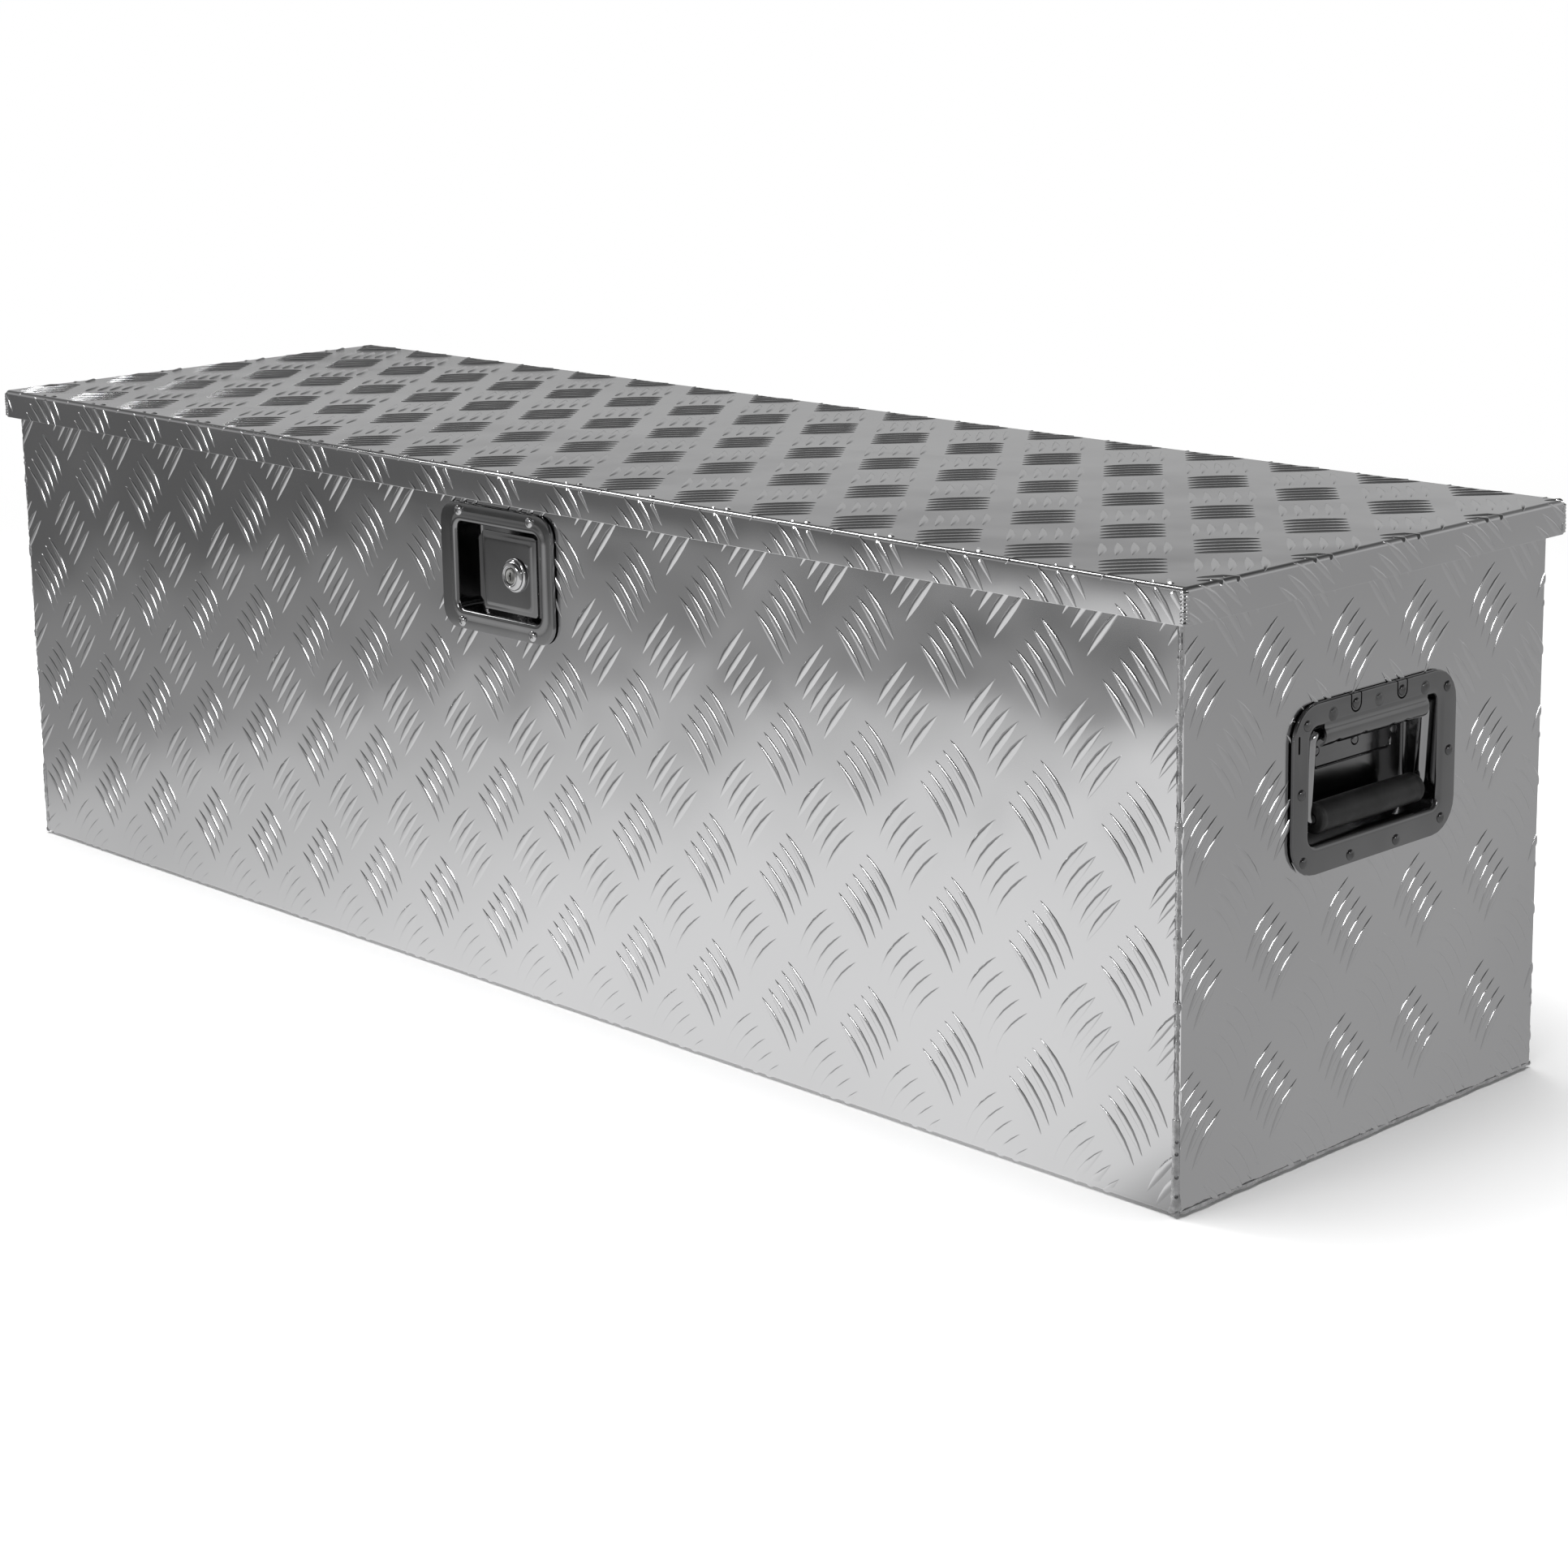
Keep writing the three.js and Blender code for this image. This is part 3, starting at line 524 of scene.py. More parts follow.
def bars(area, right_phase, left_phase, form):
    """Every bar over an area of flat sheet, as points (u, v, h). Lean +1 rises to the right."""
    along, across, height = form[0].T
    laid = []
    for lean, phase in ((1, right_phase), (-1, left_phase)):
        c = math.cos(BAR_LEAN)
        s = math.sin(BAR_LEAN) * lean
        u = along * c - across * s
        v = along * s + across * c
        for centre in groups(area, lean, phase):
            laid.append(np.stack([u + centre[0], v + centre[1], height], 1))
    return np.array(laid)


def clipped(points, faces, area):
    """One bar cut back to a rectangle and closed again, or None if nothing is left of it."""
    (u0, v0), (u1, v1) = area
    work = bmesh.new()
    corners = [work.verts.new(p) for p in points]
    for face in faces:
        work.faces.new([corners[i] for i in face])
    planes = [((u0, 0, 0), (-1, 0, 0)), ((u1, 0, 0), (1, 0, 0))]
    planes += [((0, v0, 0), (0, -1, 0)), ((0, v1, 0), (0, 1, 0))]
    for at, out in planes:
        everything = work.verts[:] + work.edges[:] + work.faces[:]
        if not work.faces:
            break
        bmesh.ops.bisect_plane(work, geom=everything, plane_co=at, plane_no=out, clear_outer=True)
        rim = [e for e in work.edges if e.is_boundary]
        if rim:
            bmesh.ops.holes_fill(work, edges=rim)
    loose = [v for v in work.verts if not v.link_faces]
    bmesh.ops.delete(work, geom=loose, context="VERTS")
    left = None
    if len(work.faces) > 3:
        work.verts.index_update()
        left = (
            np.array([v.co for v in work.verts]),
            [tuple(v.index for v in f.verts) for f in work.faces],
        )
    work.free()
    return left


def fit_bars(laid, faces, areas, hole=None):
    """The bars that lie on a sheet made of these areas, cut at its edges and round its hole."""
    kept = []
    low = laid.min(1)
    high = laid.max(1)
    for points, a, b in zip(laid, low, high):
        whole = False
        parts = areas
        if hole is not None:
            (h0, k0), (h1, k1) = hole
            meets = a[0] < h1 and b[0] > h0 and a[1] < k1 and b[1] > k0
            if meets:
                big = 1e5
                parts = [
                    ((-big, -big), (h0, big)),
                    ((h1, -big), (big, big)),
                    ((h0, -big), (h1, k0)),
                    ((h0, k1), (h1, big)),
                ]
        for (u0, v0), (u1, v1) in parts:
            if a[0] >= u0 and b[0] <= u1 and a[1] >= v0 and b[1] <= v1:
                kept.append((points, faces))
                whole = True
                break
        if whole:
            continue
        for (u0, v0), (u1, v1) in parts:
            if a[0] < u1 and b[0] > u0 and a[1] < v1 and b[1] > v0:
                left = clipped(points, faces, ((u0, v0), (u1, v1)))
                if left:
                    kept.append(left)
    return kept


def lay_bars(shape, kept, place):
    """Adds fitted bars, each point placed in the frame."""
    for points, faces in kept:
        shape.add(place(points), faces)
    return shape


# ---- Weld beads --------------------------------------------------------------------------------------
DIME_BOW = 1.1  # how far each ripple's middle runs ahead of its sides, in ripples


def bead(shape, start, end, out, radius, dimes, flare=75, ripple=0.16, rough=0.0, even=5):
    """A weld bead between two points: overlapping ripples on a rounded back, closed behind. It swells and
    shrinks by the rough share, more slowly when even is larger."""
    start = np.asarray(start, float)
    end = np.asarray(end, float)
    way = (end - start) / np.linalg.norm(end - start)
    out = np.asarray(out, float)
    out = out - way * (out @ way)
    out /= np.linalg.norm(out)
    side = np.cross(way, out)
    rows = max(int(dimes * 7), 8)
    angle = np.radians(np.linspace(-flare, flare, 9))
    wander = rng.normal(0, 1, rows + 1)
    wander = np.convolve(wander, np.ones(even) / math.sqrt(5 * even), "same")
    loops = []
    for i in range(rows + 1):
        t = i / rows
        phase = t * dimes + DIME_BOW * (1 - np.cos(angle * 0.9))
        wave = np.abs(np.sin(math.pi * phase)) ** 0.6
        taper = min(1.0, 0.45 + 4 * min(t, 1 - t) * dimes / 3)
        r = radius * taper * (1 - ripple + ripple * wave + rough * wander[i])
        skin = (
            start
            + (end - start) * t
            + out * (r * np.cos(angle))[:, None]
            + side * (r * np.sin(angle))[:, None]
        )
        back = start + (end - start) * t - out * radius * 0.15
        loops.append(np.concatenate([skin, back[None]]))
    return loft(shape, loops)


# ---- Materials ---------------------------------------------------------------------------------------
NOISE_LOW = 0.3
NOISE_HIGH = 0.7


class Finish:
    """A procedural material around one Principled shader."""

    def __init__(self, name, color, metallic, roughness):
        self.material = bpy.data.materials.new(name)
        self.material.use_nodes = True
        self.tree = self.material.node_tree
        self.shader = self.tree.nodes["Principled BSDF"]
        self.shader.inputs["Base Color"].default_value = (*color, 1)
        self.shader.inputs["Metallic"].default_value = metallic
        self.shader.inputs["Roughness"].default_value = roughness
        self.where = self.tree.nodes.new("ShaderNodeTexCoord")
        self.height = None

    def node(self, kind, **settings):
        made = self.tree.nodes.new(kind)
        for key, value in settings.items():
            if key in made.inputs:
                made.inputs[key].default_value = value
            else:
                setattr(made, key, value)
        return made

    def link(self, output, target):
        self.tree.links.new(output, target)

    def placed(self, stretch):
        """Object coordinates, stretched per axis."""
        mapping = self.node("ShaderNodeMapping")
        mapping.inputs["Scale"].default_value = stretch
        self.link(self.where.outputs["Object"], mapping.inputs["Vector"])
        return mapping.outputs["Vector"]

    def noise(self, scale, detail=3.0, rough=0.5, stretch=(1, 1, 1)):
        made = self.node("ShaderNodeTexNoise", Scale=scale, Detail=detail, Roughness=rough)
        self.link(self.placed(stretch), made.inputs["Vector"])
        return made.outputs["Fac"]

    def ranged(self, value, low, high):
        """A noise, which mostly keeps to the middle of its range, spread from low to high."""
        made = self.node("ShaderNodeMapRange")
        made.inputs["From Min"].default_value = NOISE_LOW
        made.inputs["From Max"].default_value = NOISE_HIGH
        made.inputs["To Min"].default_value = low
        made.inputs["To Max"].default_value = high
        self.link(value, made.inputs["Value"])
        return made.outputs["Result"]

    def roughness(self, value):
        self.link(value, self.shader.inputs["Roughness"])
        return self

    def tint(self, value, dark, light):
        """Base colour between two greys or colours, by a value from 0 to 1."""
        ramp = self.node("ShaderNodeValToRGB")
        ramp.color_ramp.elements[0].color = (*dark, 1)
        ramp.color_ramp.elements[1].color = (*light, 1)
        self.link(value, ramp.inputs["Fac"])
        self.link(ramp.outputs["Color"], self.shader.inputs["Base Color"])
        return self

    def bump(self, value, distance):
        """Adds relief of this many metres; bumps stack."""
        made = self.node("ShaderNodeBump", Strength=1.0, Distance=distance)
        self.link(value, made.inputs["Height"])
        if self.height is not None:
            self.link(self.height, made.inputs["Normal"])
        self.height = made.outputs["Normal"]
        self.link(self.height, self.shader.inputs["Normal"])
        return self


def grey(value):
    return (value, value, value * 1.01)


def tread_finish(name, rolling, wave):
    """Bright rolled sheet: soft waves between the bar groups, fine rolling lines and scattered scuffs."""
    made = Finish(name, grey(0.8), 1.0, 0.2)
    haze = made.noise(9.0, 4.0, 0.6)
    made.roughness(made.ranged(haze, 0.11, 0.2))
    made.tint(made.ranged(made.noise(3.0, 2.0), 0.0, 1.0), grey(0.76), grey(0.84))
    made.bump(made.noise(8.0, 1.0, 0.4), wave)
    made.bump(made.noise(16.0, 1.0, 0.4), 0.0007)
    made.bump(made.noise(60.0, 2.0, 0.5, rolling), 0.00001)
    return made.material


TREAD = tread_finish("tread_plate", (40, 1, 1), 0.0012)
TREAD_CHEST = tread_finish("tread_plate_chest", (40, 1, 1), 0.0034)
TREAD_END = tread_finish("tread_plate_end", (1, 40, 1), 0.0016)

def plain_finish(name, color, metallic, roughness, haze, shade, relief):
    """A finish from three kinds of noise over one plain colour and roughness. The haze is its scale, detail,
    least and most roughness. The shade is its scale, detail, noise roughness, dark and light. The relief
    lists each noise's settings, with its height in metres."""
    haze_scale, haze_detail, least, most = haze
    shade_scale, shade_detail, shade_rough, dark, light = shade
    made = Finish(name, color, metallic, roughness)
    made.roughness(made.ranged(made.noise(haze_scale, haze_detail, 0.6), least, most))
    made.tint(made.ranged(made.noise(shade_scale, shade_detail, shade_rough), 0.0, 1.0), dark, light)
    for settings, height in relief:
        made.bump(made.noise(*settings), height)
    return made.material


MILL = plain_finish(
    "mill_sheet",
    grey(0.72),
    1.0,
    0.36,
    haze=(14.0, 4.0, 0.3, 0.46),
    shade=(5.0, 3.0, 0.5, grey(0.64), grey(0.76)),
    relief=[((50.0, 2.0, 0.5, (30, 1, 1)), 0.00002)],
)
WELD = plain_finish(
    "weld",
    grey(0.78),
    1.0,
    0.3,
    haze=(300.0, 3.0, 0.2, 0.5),
    shade=(160.0, 3.0, 0.6, grey(0.5), grey(0.86)),
    relief=[((700.0, 3.0, 0.6), 0.00035)],
)
WELD_BRIGHT = plain_finish(
    "weld_bright",
    grey(0.86),
    1.0,
    0.14,
    haze=(500.0, 3.0, 0.08, 0.24),
    shade=(260.0, 3.0, 0.6, grey(0.66), grey(0.92)),
    relief=[((420.0, 2.0, 0.5), 0.00012)],
)
PRESSED = plain_finish(
    "stainless_pressing",
    grey(0.3),
    1.0,
    0.16,
    haze=(40.0, 4.0, 0.11, 0.2),
    shade=(12.0, 3.0, 0.5, grey(0.26), grey(0.34)),
    relief=[((18.0, 1.0, 0.4), 0.00008), ((900.0, 2.0, 0.5, (1, 1, 6)), 0.000004)],
)
# Rivet heads and pressed dimples: a darker copy of the stainless pressing, painted shade that stands in for
# the dark shading round each dome.
RIVET_PAINTED_SHADE = plain_finish(
    "rivet_head_painted_shade",
    grey(0.2),
    1.0,
    0.1,
    haze=(200.0, 3.0, 0.06, 0.16),
    shade=(150.0, 3.0, 0.5, grey(0.16), grey(0.26)),
    relief=[((900.0, 2.0, 0.5), 0.000008)],
)
POLISHED = plain_finish(
    "stainless_polished",
    grey(0.66),
    1.0,
    0.08,
    haze=(60.0, 4.0, 0.05, 0.12),
    shade=(30.0, 3.0, 0.5, grey(0.6), grey(0.7)),
    relief=[((500.0, 2.0, 0.5), 0.000006)],
)
ZINC = plain_finish(
    "zinc_plate",
    (0.6, 0.6, 0.59),
    1.0,
    0.3,
    haze=(90.0, 4.0, 0.22, 0.42),
    shade=(60.0, 4.0, 0.6, (0.5, 0.5, 0.48), (0.68, 0.68, 0.67)),
    relief=[((400.0, 2.0, 0.5), 0.00001)],
)
RUBBER = plain_finish(
    "rubber",
    grey(0.018),
    0.0,
    0.42,
    haze=(120.0, 3.0, 0.34, 0.52),
    shade=(40.0, 3.0, 0.5, grey(0.013), grey(0.024)),
    relief=[((1800.0, 2.0, 0.5), 0.00002)],
)
ENAMEL = plain_finish(
    "black_enamel",
    grey(0.02),
    0.0,
    0.28,
    haze=(80.0, 3.0, 0.22, 0.36),
    shade=(20.0, 3.0, 0.5, grey(0.015), grey(0.026)),
    relief=[((600.0, 2.0, 0.5), 0.00001)],
)

# CAD nodes that keep their own shape take their finish, with their edges eased.
KEPT = {
    "lock_gasket": RUBBER,
    "lock_retainer": ZINC,
    "latch_case": ZINC,
    "latch_bolt": POLISHED,
    "key_cam": ZINC,
    "striker": ZINC,
}
for i in range(1, 5):
    KEPT[f"lock_nut_{i}"] = ZINC
for side in ("left", "right"):
    KEPT[f"handle_gasket_{side}"] = RUBBER
    KEPT[f"strut_lid_bracket_{side}"] = ZINC
    KEPT[f"strut_box_bracket_{side}"] = ZINC


def ease_edges(made):
    easing = made.modifiers.new("edges", "BEVEL")
    easing.width = 0.0003
    easing.segments = 2
    easing.limit_method = "ANGLE"


for node, finish in KEPT.items():
    kept = frame["nodes"][node]
    kept.data.materials.clear()
    kept.data.materials.append(finish)
    ease_edges(kept)


# ---- The chest ---------------------------------------------------------------------------------------
face_y = BOX_Y - BAR_RISE  # outer face of the front and back, under the bars
face_x = BOX_X - BAR_RISE
top_z = RIM_TOP - BAR_RISE
mouth_y = BOX_Y - RIM_WIDTH
seam = 3.4  # how far the front and back stop short of the end's outer face, which leaves an open groove

lock_low, lock_high = span("lock_plate")
dish = {"low": (-34.0, 274.0), "high": (56.0, 336.0)}
LOCK_HOLE = ((dish["low"][0] - 3, dish["low"][1] - 3), (dish["high"][0] + 3, dish["high"][1] + 3))

wrap_path = Fold(
    [
        (-mouth_y, RIM_TOP - RIM_DROP),
        (-mouth_y, top_z),
        (-face_y, top_z),
        (-face_y, BAR_RISE),
        (face_y, BAR_RISE),
        (face_y, top_z),
        (mouth_y, top_z),
        (mouth_y, RIM_TOP - RIM_DROP),
    ],
    [2.0, BEND, BEND, BEND, BEND, 2.0],
)


def along_box(u, row):
    """A section of the folded sheet, at one place along the box."""
    return np.stack([np.full(len(row), u), row[:, 0], row[:, 1]], 1)


# On the front face the sheet's own v is the height: find the path's distance at one height.
front_start = wrap_path.parts[4]
FRONT_S = front_start[0]
FRONT_Z = front_start[2][1]


def on_wrap(points):
    s = FRONT_S + FRONT_Z - points[:, 1]
    row = wrap_path(s, points[:, 2])
    return np.stack([points[:, 0], row[:, 0], row[:, 1]], 1)


def height_at(s):
    return FRONT_S + FRONT_Z - s


wrap_end = face_x - seam
wrap_top = height_at(wrap_path.parts[1][1] + 1.5)
wrap_bottom = height_at(wrap_path.parts[-2][0] - 1.5)
chest = ribbon(Shape(), wrap_path, -wrap_end, wrap_end, along_box, inner_tone=1)
hole = loft(
    Shape(),
    [on_front(rounded(*LOCK_HOLE, 8), y) for y in (-BOX_Y - 5, -BOX_Y + 8)],
)
chest = carved(chest, hole)


def wrap_bars(form, v0, v1):
    area = ((-wrap_end, v0), (wrap_end, v1))
    laid = bars(area, (36.0, 11.0), (0.0, 54.0), form)
    keep_hole = None if form is COARSE_BAR else LOCK_HOLE
    return fit_bars(laid, form[1], [area], keep_hole)


lay_bars(chest, wrap_bars(FINE_BAR, -20.0, wrap_top), on_wrap)
piece("chest_front_and_back", chest, [TREAD_CHEST, MILL], "box", ["box_wrap"])

underside = Shape()
bottom_far = height_at(wrap_path.parts[8][0]) + 24
lay_bars(underside, wrap_bars(COARSE_BAR, bottom_far, -20.0), on_wrap)
piece("chest_bottom_bars", underside, [TREAD_CHEST], "box")

rear = Shape()
lay_bars(rear, wrap_bars(FINE_BAR, wrap_bottom, bottom_far), on_wrap)
piece("chest_back_bars", rear, [TREAD_CHEST], "box")

plate_low, plate_high = span("handle_plate_right")
WINDOW = ((-65.0, 200.0), (64.0, 271.5))
HANDLE_HOLE = ((WINDOW[0][0] - 3, WINDOW[0][1] - 3), (WINDOW[1][0] + 3, WINDOW[1][1] + 3))
panel_y = face_y - 1.6


def half_turn(points):
    """The same place on the other end of the box."""
    return points * np.array([-1.0, -1.0, 1.0])


def end_panel(rising, falling):
    """The right end: a sheet with its own rim, bars on its face, and the handle's hole."""
    shape = Shape()
    back = face_x - SHEET
    low, high = (-panel_y, 2.0), (panel_y, top_z)
    loft(shape, [on_end(rounded(low, high, BEND), x) for x in (back, face_x)])
    shape = carved(
        shape, loft(Shape(), [on_end(rounded(*HANDLE_HOLE, 8), x) for x in (back - 9, BOX_X + 9)])
    )
    rim = Fold(
        [
            (face_x - 2.5, top_z),
            (BOX_X - RIM_WIDTH, top_z),
            (BOX_X - RIM_WIDTH, RIM_TOP - RIM_DROP),
        ],
        [2.0],
    )
    ribbon(shape, rim, -mouth_y + 0.3, mouth_y - 0.3, across_box, inner_tone=1)
    area = ((-panel_y, 2.4), (panel_y, top_z - 1))
    laid = bars(area, rising, falling, FINE_BAR)
    fitted = fit_bars(laid, FINE_BAR[1], [area], HANDLE_HOLE)
    return lay_bars(shape, fitted, on_right)


def across_box(u, row):
    return np.stack([row[:, 0], np.full(len(row), u), row[:, 1]], 1)


def on_right(points):
    return np.stack([face_x + points[:, 2], points[:, 0], points[:, 1]], 1)


end_finishes = [TREAD_END, MILL]
right_end = end_panel((-22.0, 56.0), (14.0, 13.0))
left_end = Shape().merge(end_panel((11.0, 38.0), (-25.5, 81.0)), half_turn)
piece("chest_end_right", right_end, end_finishes, "box", ["end_panel_right"])
piece("chest_end_left", left_end, end_finishes, "box", ["end_panel_left"])

# The corner seams: a bead deep in the open groove, built up thick over the lowest part.
BUILT_UP = 62.0
PITS = [(13.0, 1.1), (25.0, 1.3), (39.0, 1.2), (46.5, 1.1)]  # height and size of each pore
for x_sign in (-1, 1):
    for y_sign in (-1, 1):
        out = np.array([x_sign, y_sign, 0.0])
        root = np.array([x_sign * (wrap_end + 0.4), y_sign * (panel_y - 0.3), 0.0])
        seams = Shape()
        deep = root + (0, 0, BUILT_UP - 4)
        high = root + (0, 0, top_z - 4)
        bead(seams, deep, high, out, 1.9, 60, 88, 0.12, 0.5, 9)
        low = root + (0, 0, 1.8)
        thick = root + (0, 0, BUILT_UP)
        filled = bead(Shape(), low, thick, out, 3.0, 9, 82, 0.08, 0.2, 13)
        pits = []
        for height, size in PITS:
            at = root + (0, 0, height) + out * 0.3
            pore = [(0, 0), (size * 0.7, 0.2), (size, 1.6), (size * 1.1, 2.6), (size * 1.3, 4), (0, 4)]
            pits.append(turned(Shape(), pore, at, out, 12))
        seams.merge(carved(filled, *pits))
        name = f"seam_{'right' if x_sign > 0 else 'left'}_{'back' if y_sign > 0 else 'front'}"
        piece(name, seams, [WELD], "box", crease=60)
    foot = Shape()
    y_reach = panel_y - 1
    x_foot = x_sign * (face_x - 1.0)
    front_end = (x_foot, -y_reach, 2.6)
    back_end = (x_foot, y_reach, 2.6)
    bead(foot, front_end, back_end, (x_sign, 0, -1.2), 1.8, 40, 80, 0.1, 0.35, 11)
    for edge in (-1, 1):
        at = (x_sign * (face_x - 1.6), edge * panel_y, 2.8)
        bead(foot, at, (at[0], at[1] + edge * 2.2, 2.2), (x_sign, edge, -1), 2.0, 2, 80, 0.2, 0.1)
    name = f"foot_seam_{'right' if x_sign > 0 else 'left'}"
    piece(name, foot, [WELD], "box", crease=60)

# The seal round the mouth: a rubber strip with two lips.
seal_low, seal_high = span("rim_seal")
sx, sy = seal_high[0], seal_high[1]
z0, z1 = seal_low[2], seal_high[2]
section = [(0, z0), (0, z1 - 1.6), (1.2, z1), (3.6, z1), (4.8, z1 - 1.8), (7.2, z1 - 1.8)]
section += [(8.4, z1), (10.8, z1), (12, z1 - 1.6), (12, z0)]
seal = loft(
    Shape(),
    [
        level(rounded((-sx + d, -sy + d), (sx - d, sy - d), max(10 - d * 0.5, 1)), z)
        for d, z in section
    ],
    closed=True,
)
piece("mouth_seal", seal, [RUBBER], "box", ["rim_seal"])


# ---- The lid -----------------------------------------------------------------------------------------
lid_x = LID_HIGH[0] - BAR_RISE
lid_y = LID_HIGH[1] - BAR_RISE
lid_z = HEIGHT - BAR_RISE


def lid_path(reach):
    corners = [(-reach, SKIRT_LOW), (-reach, lid_z), (reach, lid_z), (reach, SKIRT_LOW)]
    return Fold(corners, [BEND, BEND], "left")


lid_across = lid_path(lid_y)
lid_along = lid_path(lid_x)


def on_lid(points):
    """A place on the unfolded lid, folded over whichever edge it is past."""
    out = np.zeros((len(points), 3))
    over_end = np.abs(points[:, 0]) > lid_x - BEND
    for here, path, first in ((over_end, lid_along, 0), (~over_end, lid_across, 1)):
        part = points[here]
        row = path(part[:, first] + path.length / 2, part[:, 2])
        out[here, first] = row[:, 0]
        out[here, 1 - first] = part[:, 1 - first]
        out[here, 2] = row[:, 1]
    return out


def lid_shell():
    """The lid's sheet: a shallow tray upside down, with its top edges bent and its corners closed."""
    shape = Shape()
    turn = np.radians(np.linspace(0, 90, ARC_STEPS + 1))
    outer = [(0.2, SKIRT_LOW), (0, SKIRT_LOW + 0.3)]
    outer += [(BEND - BEND * math.cos(t), lid_z - BEND + BEND * math.sin(t)) for t in turn]
    inner_bend = BEND - SHEET
    inner = [
        (SHEET + inner_bend - inner_bend * math.sin(t), lid_z - BEND + inner_bend * math.cos(t))
        for t in turn
    ]
    inner += [(SHEET, SKIRT_LOW + 0.3), (SHEET - 0.2, SKIRT_LOW)]
    loops = []
    for inset, z in outer + inner:
        low = (-lid_x + inset, -lid_y + inset)
        high = (lid_x - inset, lid_y - inset)
        loops.append(level(rounded(low, high, max(BEND - inset, 0.01)), z))
    n = len(loops[0])
    faces = []
    rows = len(loops)
    cut = len(outer) - 1
    for i in range(rows):
        if i == cut:
            continue
        for j in range(n):
            k = (j + 1) % n
            b = (i + 1) % rows
            faces.append((i * n + j, i * n + k, b * n + k, b * n + j))
    faces.append(tuple(cut * n + j for j in range(n)))
    faces.append(tuple((cut + 1) * n + j for j in range(n)))
    shape.add(np.concatenate(loops), faces, weld=True)
    for i, face in enumerate(shape.faces):
        z = shape.points[0][list(face)]
        reach = np.array([np.abs(z[:, 0]).max(), np.abs(z[:, 1]).max(), z[:, 2].max()])
        if (reach < np.array([lid_x, lid_y, lid_z]) - SHEET + 0.1).all():
            shape.tones[i] = 1
    return shape


lid = lid_shell()
end_u = lid_along.length / 2 - 0.4
end_v = lid_across.length / 2 - 0.4
corner_x = lid_x - BEND - 0.05
corner_y = lid_y - BEND - 0.05
lid_areas = [
    ((-corner_x, -end_v), (corner_x, end_v)),
    ((-end_u, -corner_y), (end_u, corner_y)),
]
lid_laid = bars(((-end_u, -end_v), (end_u, end_v)), (-20.0, 12.0), (16.0, 55.0), FINE_BAR)


def lid_bars():
    """Bars on the top and over its bends. One at a corner is cut once for each of the two skirts it meets."""
    kept = []
    for points in lid_laid:
        low, high = points.min(0), points.max(0)
        reach_u = max(-low[0], high[0])
        reach_v = max(-low[1], high[1])
        if reach_v <= corner_y:
            areas = [lid_areas[1]]
        elif reach_u <= corner_x:
            areas = [lid_areas[0]]
        else:
            side = 1 if high[0] > 0 else -1
            beyond = sorted((side * corner_x, side * end_u))
            areas = [lid_areas[0], ((beyond[0], -corner_y), (beyond[1], corner_y))]
        for area in areas:
            kept += fit_bars(points[None], FINE_BAR[1], [area])
    return kept


lay_bars(lid, lid_bars(), on_lid)
piece("lid_shell", lid, [TREAD, MILL], "lid", ["lid_pan"])

# Each corner of the lid is closed with a short bead of overlapping ripples.
DIMES = 9
corner_welds = Shape()
for x_sign in (-1, 1):
    for y_sign in (-1, 1):
        out = np.array([x_sign, y_sign, 0.0])
        foot = np.array([x_sign * (lid_x - 2.0), y_sign * (lid_y - 2.0), SKIRT_LOW + 0.6])
        head = foot + (0, 0, lid_z - SKIRT_LOW - 2.6)
        bead(corner_welds, foot, head, out, 2.9, DIMES, 84, 0.24, 0.1)
piece("lid_corner_welds", corner_welds, [WELD_BRIGHT], "lid", crease=60)

# Hat channels under the lid.
for name in ("lid_stiffener_left", "lid_stiffener_right"):
    low, high = span(name)
    mid = (low[0] + high[0]) / 2
    wide = (high[0] - low[0]) / 2
    deep, top = low[2], high[2]
    sheet = 1.5
    half = wide - 12
    rows = [(-wide, top - sheet), (-half, top - sheet), (-half, deep), (half, deep)]
    rows += [(half, top - sheet), (wide, top - sheet)]
    outline = eased([(mid + a, b) for a, b in rows], 2.0, 4)
    inward = [(-wide, top), (-half + sheet, top), (-half + sheet, deep + sheet)]
    inward += [(half - sheet, deep + sheet), (half - sheet, top), (wide, top)]
    inner = eased([(mid + a, b) for a, b in inward], 1.0, 4)
    section = np.concatenate([outline, inner[::-1]])
    channel = loft(Shape(), [across(section, y) for y in (low[1], high[1])])
    piece(name + "_channel", channel, [MILL], "lid", [name])


# ---- The hinge ---------------------------------------------------------------------------------------
pin_low, pin_high = span("hinge_pin")
HINGE = ((pin_low[1] + pin_high[1]) / 2, (pin_low[2] + pin_high[2]) / 2)
PIN_R = (pin_high[1] - pin_low[1]) / 2
hinge_end = pin_high[0]
KNUCKLE_R = 3.0
LEAF_THICK = 1.2
LEAF_GAP = 0.3
KNUCKLES = 42
LEAF_RIVETS = 14


